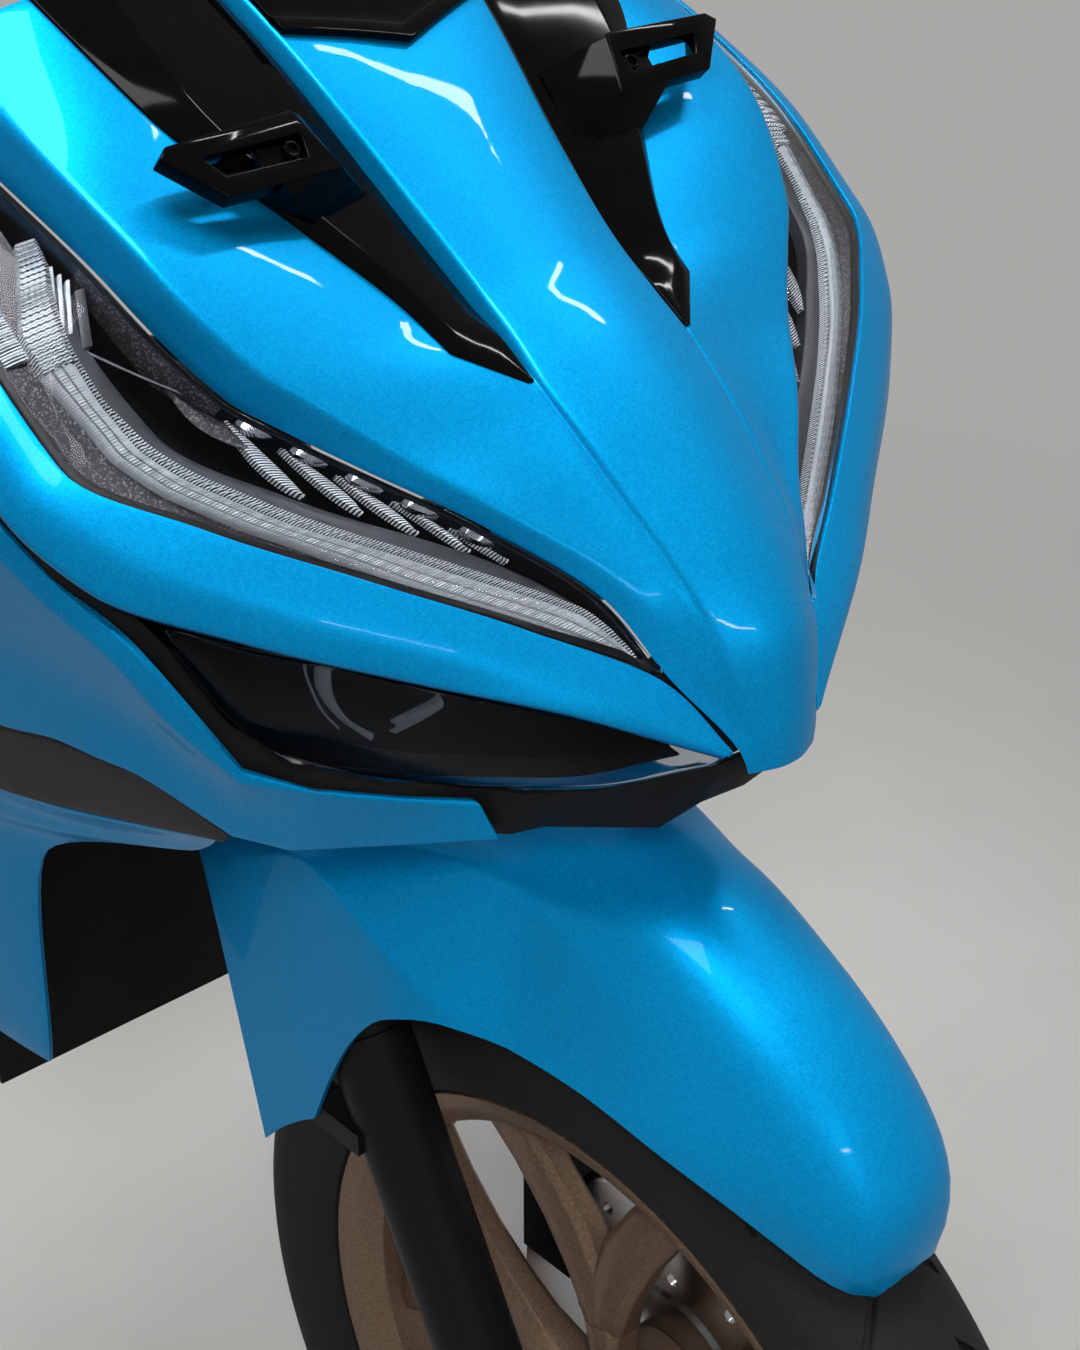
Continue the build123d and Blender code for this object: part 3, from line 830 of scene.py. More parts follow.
# Milky acrylic light guide with cross ribs, which make it glow evenly when lit; its two colours in
# bands about 1.3 mm apart paint the ribs' pale crests and the shade in their gaps
MILKY_GUIDE = Finish(
    "acrylic_milky_rib_painted_shade", "#A6A8AB", "#75787B", Pattern.PAINTED_RIB_SHADE, 1.3, 0.2, 0.1, relief=0.15,
    clear=0.2,
)
# Clear acrylic with coarse cross prisms of 1.7 mm; its two colours in bands paint highlights on the
# crests and shade in the gaps
GRID_CLEAR = Finish(
    "acrylic_cross_prisms_painted_shade", "#3A3E42", "#C9CDD1", Pattern.PAINTED_RIB_SHADE, 1.7, 0.12, 0.08, relief=0.5,
    clear=0.15,
)
# Clear acrylic with fine prisms, here drawn at 1.3 mm; its two colours in bands paint highlights on
# the teeth and shade between them
PRISM_CLEAR = Finish(
    "acrylic_prisms_painted_shade", "#1E2022", "#BEC1C4", Pattern.PAINTED_RIB_SHADE, 1.3, 0.1, 0.08, relief=0.4,
    ior=1.49, clear=0.2,
)
# Clear acrylic polished, seen as pale edges on a dark ground
BAR_CLEAR = Finish(
    "acrylic_clear_polished", "#B9BDC1", "#D6DADD", Pattern.GRAIN, 5.0, 0.05, 0.05, ior=1.49,
    clear=0.4,
)
# Dark reflector enamel with aluminium flake, drawn at 0.7 mm so that the sparkle shows
FLAKE_BEZEL = Finish(
    "reflector_enamel_flake", "#151314", "#6A6368", Pattern.FLAKE, 0.7, 0.3, 0.25, metallic=0.3,
    share=0.12,
)
# Polycarbonate bezel in plain grey, moulded satin: even, with soft highlights
BEZEL_GREY = Finish(
    "polycarbonate_grey_satin", "#262628", "#303033", Pattern.GRAIN, 8.0, 0.3, 0.1, gloss=0.3
)
# Vacuum-metallised reflector, smoked: a dim mirror
DARK_CHROME = Finish(
    "aluminium_vapour_coat_smoked", "#9A9AA0", "#B4B4BA", Pattern.GRAIN, 8.0, 0.1, 0.08,
    metallic=1.0,
)
# Ground and hard-chromed steel tube: lines run round it
GROUND_STEEL = Finish(
    "steel_ground_chromed", "#A8AAAC", "#C6C8CA", Pattern.BRUSHED, 0.5, 0.16, 0.12, metallic=1.0
)
# Sand-cast alloy under satin grey stoving enamel: nearly black, its skin slightly rough
GREY_ALLOY = Finish(
    "cast_alloy_grey_enamel", "#0D0E0F", "#141517", Pattern.GRAIN, 1.2, 0.42, 0.15, relief=0.12,
    metallic=0.2, gloss=0.2,
)
# Gravity-cast alloy under satin bronze powder coat: warm brown with a fine glitter
BRONZE_ALLOY = Finish(
    "cast_alloy_bronze_powder", "#75604F", "#8B7461", Pattern.FLAKE, 0.7, 0.38, 0.15, relief=0.05,
    metallic=0.6,
)
# Drawn steel tube under black chassis enamel: black, with broad and soft highlights
CHASSIS_BLACK = Finish(
    "steel_black_chassis_enamel", "#0A0A0B", "#111113", Pattern.GRAIN, 4.0, 0.35, 0.12, relief=0.05,
    gloss=0.3,
)
# Yellow-free zinc plate on turned steel: pale grey and slightly cloudy
ZINC = Finish(
    "steel_zinc_plated", "#8E9294", "#A5A9AB", Pattern.GRAIN, 2.0, 0.3, 0.15, metallic=1.0
)
# Nitrile rubber, moulded as a lip: a dull black that hardly shines
SEAL_RUBBER = Finish(
    "nitrile_rubber_moulded", "#0E0E0F", "#151516", Pattern.GRAIN, 1.0, 0.6, 0.1, relief=0.05,
    gloss=0.3,
)
# Carbon-filled tyre rubber with a moulded skin: dull black with a faint sheen
TYRE_RUBBER = Finish(
    "tyre_rubber_moulded", "#141415", "#1D1D1F", Pattern.GRAIN, 2.2, 0.62, 0.18, relief=0.2,
    gloss=0.3,
)
MATERIALS: dict[str, bpy.types.Material] = {}


def finish_of(finish: Finish) -> bpy.types.Material:
    """The finish's material, built once.

    Args:
        finish: the finish.

    Returns:
        Its material.
    """
    if finish.name not in MATERIALS:
        MATERIALS[finish.name] = finish.make()
    return MATERIALS[finish.name]


def dress(piece: Piece, finish: Finish, body: str, slot: str, *nodes: str) -> Piece:
    """Give a new piece its finish and its body, and hide the nodes that it stands for.

    Args:
        piece: the piece to dress.
        finish: its finish.
        body: the body that it rides on.
        slot: not used.
        *nodes: the CAD nodes that it takes the place of.

    Returns:
        The same piece.
    """
    piece.data.materials.clear()
    piece.data.materials.append(finish_of(finish))
    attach(piece, body)
    if nodes:
        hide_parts(*nodes)
    log.info("%s: %d faces, %s", piece.name, len(piece.data.polygons), finish.name)
    return piece


def dress_pair(right: Piece, finish: Finish, slot: str, node: str | None = None) -> None:
    """Dress a right-hand piece of the fairing, named ..._right, and its left-hand twin.

    Args:
        right: the right-hand piece.
        finish: the pair's finish.
        slot: the pair's slot.
        node: the CAD nodes' name without their side, if it stands for any.
    """
    left = twin(right, right.name.replace("_right", "_left"))
    for piece, side in ((right, "_right"), (left, "_left")):
        dress(piece, finish, FAIRING, slot, *([node + side] if node else []))


# ---------------------------------------------------------------- the stage
@dataclass(frozen=True)
class Lamp:
    """A rectangular lamp: place, aim, size, watts, beam in degrees, whether gloss shows it."""

    name: str
    at: Triple
    towards: Triple
    size: Pair
    power: float
    beam: float = 180.0
    in_gloss: bool = True


def hang(thing: Piece, at: Triple, way: Vector) -> None:
    """Put a camera or a lamp in the scene, looking along a way.

    Args:
        thing: the camera or lamp.
        at: its place.
        way: the way that it looks.
    """
    bpy.context.scene.collection.objects.link(thing)
    thing.location = at
    thing.rotation_mode = "QUATERNION"
    thing.rotation_quaternion = way.to_track_quat("-Z", "Y")


@dataclass
class Studio:
    """Camera at the photograph's angle, pale floor and soft lamps."""

    camera_at: Triple = (0.9977, -0.5750, 0.6873)
    looks_back: Triple = (0.6334, -0.5906, 0.5)
    lens: float = 61.33
    floor_colour: str = "#D2D0CD"
    floor_bounce: str = "#66645F"
    backdrop: str = "#AAA9A7"
    world_colour: str = "#F4F6F8"
    world_strength: float = 0.09
    # how far out the floor starts and ends to pass into the backdrop, m
    fade: Pair = (0.75, 1.9)
    lamps: tuple[Lamp, ...] = (
        Lamp("overhead_softbox", (0.45, -0.45, 2.2), (0.3, 0.0, 0.0), (1.0, 0.9), 34.0),
        Lamp(
            "mudguard_softbox", (1.5, -1.0, 1.3), (0.5, -0.03, 0.06), (0.35, 0.35), 0.85, 30.0,
            False,
        ),
        Lamp("rear_softbox", (-1.6, 1.0, 1.6), (0.2, 0.0, 0.0), (0.9, 0.9), 12.0, in_gloss=False),
        Lamp("ceiling_tube", (0.5, 1.0, 1.9), (0.3, 0.0, 0.1), (0.04, 0.5), 5.0),
        Lamp("front_tube", (2.1, -0.4, 0.95), (0.3, 0.0, 0.0), (0.4, 0.03), 2.6),
    )

    def build(self) -> None:
        """Set the camera, floor, world and lamps."""
        self.set_camera()
        self.lay_floor()
        self.light_world()
        for lamp in self.lamps:
            self.hang_lamp(lamp)
        bpy.context.scene.view_settings.view_transform = "Standard"

    def set_camera(self) -> None:
        """Stand the camera where the photograph was taken."""
        data = bpy.data.cameras.new("photo_camera")
        data.lens = self.lens
        data.clip_start = 0.02
        camera = bpy.data.objects.new("photo_camera", data)
        hang(camera, self.camera_at, -Vector(self.looks_back))
        bpy.context.scene.camera = camera

    def lay_floor(self) -> None:
        """Lay a pale plain floor under the tyre."""
        floor = primitive("plane", "floor", size=14, location=(0, 0, 0))
        for vertex in floor.data.vertices:
            vertex.co.z = CAD_BOUNDS[0].z
        material = bpy.data.materials.new("painted_screed_pale")
        tree = blank_tree(material)
        place = put(tree, "TexCoord", {}).outputs["Object"]
        noise = {"Scale": 9.0, "Detail": 3.0}
        cloud = put(tree, "TexNoise", noise, {"Vector": place}).outputs["Fac"]
        # Seen and mirrored it is pale, and it throws less light back up at the object's sides
        tones = {"data_type": "RGBA", 6: linear(self.floor_bounce), 7: linear(self.floor_colour)}
        colour = put(tree, "Mix", tones, {0: self.seen(tree)}).outputs[2]
        shade = put(tree, "MapRange", {"To Min": 0.94, "To Max": 1.04}, {0: cloud}).outputs[0]
        mottled = put(
            tree, "VectorMath", {"operation": "SCALE"}, {0: colour, "Scale": shade}
        ).outputs[0]
        paint = put(tree, "BsdfDiffuse", {}, {"Color": mottled}).outputs[0]
        # Far out it passes into the backdrop, for what is seen only
        out = put(tree, "VectorMath", {"operation": "LENGTH"}, {0: place}).outputs["Value"]
        start, end = self.fade
        ramp = {"interpolation_type": "SMOOTHSTEP", "From Min": start, "From Max": end}
        far = put(tree, "MapRange", ramp, {0: out}).outputs[0]
        share = put(
            tree, "Math", {"operation": "MULTIPLY"}, {0: far, 1: self.seen(tree)}
        ).outputs[0]
        pale = put(tree, "Emission", {"Color": linear(self.backdrop)}).outputs[0]
        surface = put(tree, "MixShader", {}, {0: share, 1: paint, 2: pale}).outputs[0]
        put(tree, "OutputMaterial", {}, {"Surface": surface})
        floor.data.materials.append(material)

    def seen(self, tree: Tree) -> bpy.types.NodeSocket:
        """1 for camera, glossy and transmission rays, otherwise 0.

        Args:
            tree: the node tree to build in.

        Returns:
            The socket with the value.
        """
        ray = put(tree, "LightPath", {}).outputs
        any_ray = ray["Is Camera Ray"]
        for kind in ("Is Glossy Ray", "Is Transmission Ray"):
            either = put(tree, "Math", {"operation": "MAXIMUM"}, {0: any_ray, 1: ray[kind]})
            any_ray = either.outputs[0]
        return any_ray

    def light_world(self) -> None:
        """Light softly all round, with a pale background behind the object and in its gloss."""
        world = bpy.data.worlds.new("studio")
        tree = blank_tree(world)
        shown = {0: self.seen(tree)}
        tones = ((self.world_colour, self.world_strength), (self.backdrop, 1.0))
        for socket, (tone, strength) in enumerate(tones, 1):
            glow = {"Color": linear(tone), "Strength": strength}
            shown[socket] = put(tree, "Background", glow).outputs[0]
        both = put(tree, "MixShader", {}, shown)
        put(tree, "OutputWorld", {}, {"Surface": both.outputs[0]})
        bpy.context.scene.world = world

    def hang_lamp(self, lamp: Lamp) -> None:
        """Hang one lamp with its beam, seen by glossy faces or not.

        Args:
            lamp: the lamp to hang.
        """
        data = bpy.data.lights.new(lamp.name, "AREA")
        data.shape = "RECTANGLE"
        data.size, data.size_y = lamp.size
        data.energy = lamp.power
        data.spread = math.radians(lamp.beam)
        hung = bpy.data.objects.new(lamp.name, data)
        hang(hung, lamp.at, Vector(lamp.towards) - Vector(lamp.at))
        hung.visible_glossy = lamp.in_gloss


# ---------------------------------------------------------------- the nose
@dataclass
class NoseLines:
    """Feature lines of the nose, station by station up its slope."""

    # t, spine n, crease (w n), seat in (w n), seat out (w n), crest (w n), lamp top (w n)
    nose: tuple = (
        (226, 342, (9, 339), (10, 338.4), (11, 337.7), (13, 336.6), (15, 335)),
        (247, 364, (15, 358), (16, 357), (17.5, 355.6), (19, 354), (22, 351)),
        (281, 388, (24, 376), (25.5, 374.5), (29, 369), (35, 361), (39, 357)),
        (320, 391, (30, 381.5), (31.5, 379.2), (35.5, 378.2), (49, 373), (55, 364.5)),
        (360, 388, (35, 380.5), (36.5, 377.6), (41, 377.4), (79, 371), (83, 361)),
        (400, 383, (38, 376), (39.5, 373.8), (42.5, 373.8), (107, 365), (114, 352.5)),
        (423, 378, (37, 372.4), (39.5, 366.4), (63.5, 367), (125, 364.5), (132, 348.5)),
        (440, 374, (37, 369), (40, 360.5), (66.5, 363), (138, 364), (144, 345.5)),
        (490, 367, (41, 363), (45, 354), (90, 357.5), (156, 361), (160, 341)),
        (550, 360, (49, 357.4), (53, 349), (121, 352), (163, 343), (168, 322)),
        (610, 349, (57, 347), (61, 339), (133, 340), (168, 322), (176, 300)),
    )
    # t, lamp low (w n), strip fold (w n), strip low (w n)
    strip: tuple = (
        (247, (23, 350), (25, 349), (27, 347.5)),
        (281, (40, 356), (58, 354), (73, 348.5)),
        (320, (83, 355), (108, 350), (124, 339)),
        (360, (130, 350), (158, 342), (174, 329)),
        (400, (174, 342), (200, 333), (213, 318)),
        (440, (206, 331), (220, 325), (227, 314)),
        (490, (209, 325), (221, 320), (228, 310)),
        (550, (203, 312), (213, 307), (220, 298)),
        (610, (186, 297), (196, 291), (204, 282)),
    )
    lens_crown: float = 3.0
    # where the garnish seat ends in a point and where its outer corner is, on which two lines
    seat_corners: Pair = (400, 423)
    seat_lines: tuple = (3, 4)

    def line(self, table: tuple, index: int, t: float) -> Pair:
        """Read one feature line at a station, as (w, n).

        Args:
            table: the nose's or the belt's table.
            index: the line's column.
            t: the station.

        Returns:
            The line's w and n.
        """
        keys = [row[0] for row in table]
        cells = [row[index] for row in table]
        cells = [cell if isinstance(cell, tuple) else (0.0, cell) for cell in cells]
        corners = self.seat_corners if table is self.nose and index in self.seat_lines else ()
        return tuple(smooth_value(keys, [cell[k] for cell in cells], t, corners) for k in (0, 1))

    def low_edge(self, t: float) -> Pair:
        """The lamp's low edge at a station, as (w, n)."""
        return self.line(self.strip, 1, t)

    def top_edge(self, t: float) -> Pair:
        """The lamp's top edge at a station, as (w, n)."""
        return self.line(self.nose, 6, t)

    def width(self, t: float) -> float:
        """Width of the lamp at a station."""
        return self.low_edge(t)[0] - self.top_edge(t)[0]

    def share(self, t: float, mm: float) -> float:
        """Share of the lamp's width, mm in from its low edge, or from its top edge if negative."""
        part = min(abs(mm) / self.width(t), 0.97)
        return part if mm >= 0 else 1 - part

    def edge_share(self, t: float, mm: float) -> float:
        """The same share, but never past the middle where the lamp is narrow."""
        part = abs(mm) / max(self.width(t), 2 * abs(mm) + 1)
        return part if mm >= 0 else 1 - part

    def lamp(self, t: float, f: float, deep: float) -> Vector:
        """Point across the lamp, f 0 at its low edge and 1 at its top, deep below the lens.

        Args:
            t: the station.
            f: share of the lamp's width from its low edge.
            deep: depth under the lens, mm.

        Returns:
            The point.
        """
        low_w, low_n = self.low_edge(t)
        top_w, top_n = self.top_edge(t)
        crown = self.lens_crown * 4 * f * (1 - f)
        return on_nose(t, low_w + f * (top_w - low_w), low_n + f * (top_n - low_n) + crown - deep)


@dataclass
class Bodywork:
    """Bodywork on the fairing's frame, modelled on the right and mirrored."""

    # a point (x, w, z) that the panels look away from
    behind: Triple = (-60, 0, 430)

    def mould_pair(self, name: str, rows: Sequence[Row], wall: float, finish: Finish, slot: str,
                   node: str | None = None, rim: float = 0.35) -> None:
        """Mould a right-hand panel over rows of points, and dress it and its twin."""
        right = panel(f"{name}_right", rows, spot(*self.behind), wall, rim)
        dress_pair(right, finish, slot, node)


@dataclass
class NoseFairing(Bodywork):
    """Nose cover, painted strips, garnish, winglets and visor."""

    lines: NoseLines = field(default_factory=NoseLines)
    wall: float = 2.5
    floor_z: float = 412.0
    # gap between the lamp and the belt under it
    seam: float = 0.6
    # easing of the crest, the seat's two lines and the crease, and then of the spine, mm
    cover_eases: tuple = (3.5, 1.0, 0.9, 1.8)
    spine_ease: float = 26.0
    # the cover's rim: its rounding in mm, and the least turn that takes it
    cover_rim: float = 0.35
    cover_rim_turn: float = 65.0
    # (w, n) from the belt's low line to its turned-in edge, and from the lamp's edge to its lip
    belt_turned_in: Pair = (-3.0, -5.0)
    belt_lip: Pair = (-0.3, -3.0)
    # t between which the seam ahead of the lamp is backed
    tip_run: Pair = (247, 292)
    # t, how far the brow stands out between its seat and its crest
    brow: tuple = (
        (226, 0.3), (300, 0.0), (325, -1.5), (350, -2.5), (400, -1.5), (440, 1.0), (490, 2.0),
        (610, 2.0),
    )
    # t, height of the garnish's ridge, height of its outer edge, the ridge's share of the width
    garnish_rows: tuple = (
        (401, 1.0, 0.6, 0.5), (423, 3.6, 0.9, 0.75), (440, 5.6, 1.0, 0.82), (490, 6.6, 1.0, 0.84),
        (550, 6.6, 1.2, 0.75), (610, 6.6, 1.6, 0.6),
    )
    # how far it goes on under the visor, as (t, n)
    garnish_tail: Pair = (30.0, -6.0)
    # the winglet's plate, its slot and its foot: (t, w) corners
    plate_plan: tuple = ((526, 80), (524, 136), (520, 140.5), (499.5, 122), (499.4, 71))
    slot_plan: tuple = ((516.8, 81), (516.6, 124.5), (508, 119), (507.2, 83))
    # n of the plate's two faces, and of the slot's floor in the foot
    plate_n: Pair = (369.0, 377.0)
    slot_n: float = 371.5
    foot_low: tuple = ((527, 56), (494, 51.8), (482.9, 79.2), (502, 97))
    foot_high: tuple = ((525, 79), (499.6, 71.5), (499.8, 100), (524, 101))
    foot_n: Pair = (356.8, 376.8)
    # (t, w) of the screw, n of its ends, and its radius
    screw_at: Pair = (512.2, 86.4)
    screw_n: Pair = (371.0, 375.2)
    screw_r: float = 3.4
    # t, half width, spine n, fall to its edge
    visor_rows: tuple = (
        (540, 46, 364.6, 3.0), (580, 52, 358, 2.6), (610, 56, 352.5, 2.2), (640, 57, 345.5, 3.0),
        (720, 60, 324, 6.0),
    )
    # t of the visor's low edge on the middle and out by the side, w from which it runs level
    vee: tuple = (549.0, 568.0, 53.0)
    # t of its top, its length, its half width and the spans across that half
    visor_top: float = 720.0
    visor_run: float = 171.0
    visor_half: float = 50.0
    visor_spans: int = 16
    # mm along the visor from its low edge, and how far its buried foot and its lip stand out
    lip: tuple = ((0.0, -2.6), (0.0, 0.4), (0.5, 1.1), (1.5, 1.1), (6.5, 1.1), (7.5, 0.5))

    def build(self) -> None:
        """Model and dress every panel of the nose."""
        self.nose_cover()
        self.lower_strips()
        self.tip_backing()
        self.garnishes()
        self.winglets()
        self.visor()

    def nose_cover(self) -> None:
        """Centre panel, garnish seats, brows and the bevels down to the lamps."""
        table = self.lines.nose
        rows = []
        for t in spaced(table[0][0], table[-1][0], 5, self.lines.seat_corners):
            half = [on_nose(t, *self.lines.line(table, c, t)) for c in range(1, 7)]
            whole = both_sides(half)
            brow = column(self.brow, 1, t)
            eases = (*self.cover_eases, self.spine_ease, *reversed(self.cover_eases))
            crowns = (0.3, brow, 0.2, 0.0, 0.8)
            crowns = (*crowns, *reversed(crowns))
            rows.append(section(whole, eases, crowns, OUT))
        piece = lay_grid("nose_cover_shell", rows)
        everything(piece)
        bpy.ops.mesh.remove_doubles(threshold=SHEET_WELD)
        bpy.ops.mesh.select_all(action="SELECT")
        bpy.ops.mesh.bisect(plane_co=spot(0, 0, self.floor_z), plane_no=UP, clear_inner=True)
        leave_edit()
        thicken(face_away(piece, spot(*self.behind)), self.wall)
        round_edges(piece, self.cover_rim, 2, self.cover_rim_turn)
        smooth(piece, SOFT)
        dress(piece, PEARL_BLUE, FAIRING, PAINTED, "nose_cover")

    def lower_strips(self) -> None:
        """The painted belt under each lamp, with its edge turned in."""
        table = self.lines.strip
        rows = []
        for t in spaced(table[0][0], table[-1][0], 5):
            cells = [self.lines.line(table, c, t) for c in (1, 2, 3)]
            points = [on_nose(t, w + self.seam, n) for w, n in cells]
            (first_w, first_n), (last_w, last_n) = cells[0], cells[-1]
            in_w, in_n = self.belt_turned_in
            turned_in = on_nose(t, last_w + in_w, last_n + in_n)
            lip_w, lip_n = self.belt_lip
            lip = on_nose(t, first_w + self.seam + lip_w, first_n + lip_n)
            rows.append(section([lip, *points, turned_in], (0.7, 6.0, 2.5), (0, 0.4, 0.8, 0), OUT))
        self.mould_pair("lower_strip_shell", rows, 1.6, PEARL_BLUE, PAINTED, "lower_strip")

    def tip_backing(self) -> None:
        """Thin black backing behind the seam ahead of each lamp."""
        rows = []
        for t in spaced(*self.tip_run, 4):
            (top_w, top_n), (low_w, low_n) = self.lines.top_edge(t), self.lines.low_edge(t)
            ends = ((top_w - 3.0, top_n - 3.2), (low_w + 3.5, low_n - 3.2))
            rows.append([on_nose(t, w, n) for w, n in ends])
        self.mould_pair("tip_backing", rows, 1.0, MATTE_BLACK, MATTE, rim=0)

    def garnishes(self) -> None:
        """Black garnish on each seat: a broad face that rises to a ridge near its outer edge."""
        keys = [row[0] for row in self.garnish_rows]
        rows = []
        for t in spaced(keys[0], keys[-1], 4, self.lines.seat_corners):
            ridge, edge, share = (column(self.garnish_rows, k, t) for k in (1, 2, 3))
            in_w, in_n = self.lines.line(self.lines.nose, 3, t)
            out_w, out_n = self.lines.line(self.lines.nose, 4, t)
            seam = min(0.5, 0.2 * (out_w - in_w))
            in_w, out_w = in_w + seam, out_w - seam
            mid_w, mid_n = in_w + share * (out_w - in_w), in_n + share * (out_n - in_n)
            rows.append((t, [
                (in_w, in_n + 0.2), (in_w + 0.1, in_n + min(ridge, 3.4)), (mid_w, mid_n + ridge),
                (out_w - 0.1, out_n + edge), (out_w, out_n + 0.2),
            ]))
        tail_t, tail_n = self.garnish_tail
        last_t, last = rows[-1]
        for part in (0.2, 0.4, 0.6, 0.8, 1.0):
            rows.append((last_t + tail_t * part, [(w, n + tail_n * part) for w, n in last]))
        lines = [[on_nose(t, w, n) for w, n in points] for t, points in rows]
        faces = [section(line, (0.5, 1.2, 0.5), (0, 0.3, 0.2, 0), OUT) for line in lines]
        self.mould_pair("garnish_shell", faces, 1.2, PIANO_BLACK, GLOSSY, "garnish")

    def winglets(self) -> None:
        """Slotted plate on a faceted foot, held by a socket screw."""
        low, high = self.plate_n
        plate = slab("winglet_plate", self.plate_plan, low, high)
        cut(plate, slab("plate_slot", self.slot_plan, low - 1, high + 1))
        plans = zip((self.foot_low, self.foot_high), self.foot_n)
        foot = block("winglet_foot", *([on_nose(t, w, n) for t, w in plan] for plan, n in plans))
        cut(foot, slab("foot_slot", self.slot_plan, self.slot_n, high + 3))
        soften(plate, 1.2, 3)
        soften(foot, 1.0, 3)
        screw_ends = (on_nose(*self.screw_at, n) for n in self.screw_n)
        screw = rod("winglet_screw", *screw_ends, self.screw_r, 24)
        choose(screw, lambda c, n: n.dot(OUT) > 0.9)
        bpy.ops.mesh.inset(thickness=1.3 * MM)
        bpy.ops.mesh.extrude_region_move(TRANSFORM_OT_translate={"value": OUT * -2.0 * MM})
        leave_edit()
        soften(screw, 0.3, 2)
        piece = join("winglet_shell_right", [plate, foot, screw])
        dress_pair(piece, PIANO_BLACK, GLOSSY, "winglet")

    def visor(self) -> None:
        """Tinted black visor with a raised lip along its V."""
        keys = [row[0] for row in self.visor_rows]
        middle, side, half_vee = self.vee
        face = [(run, 0.0) for run in (8.5, *spaced(16, self.visor_run, 8))]
        rows = []
        for run, lip in (*self.lip, *face):
            row = []
            for i in range(-self.visor_spans, self.visor_spans + 1):
                f = i / self.visor_spans
                start = middle + (side - middle) * min(1.0, abs(f) * self.visor_half / half_vee)
                t = start + run * (self.visor_top - start) / self.visor_run
                half, spine, fall = (
                    smooth_value(keys, [r[k] for r in self.visor_rows], t) for k in (1, 2, 3)
                )
                row.append(on_nose(t, f * half, spine - fall * f * f + lip))
            rows.append(row)
        piece = panel("visor_shell", rows, spot(*self.behind), 2.6)
        dress(piece, PIANO_BLACK, FAIRING, GLOSSY, "visor")


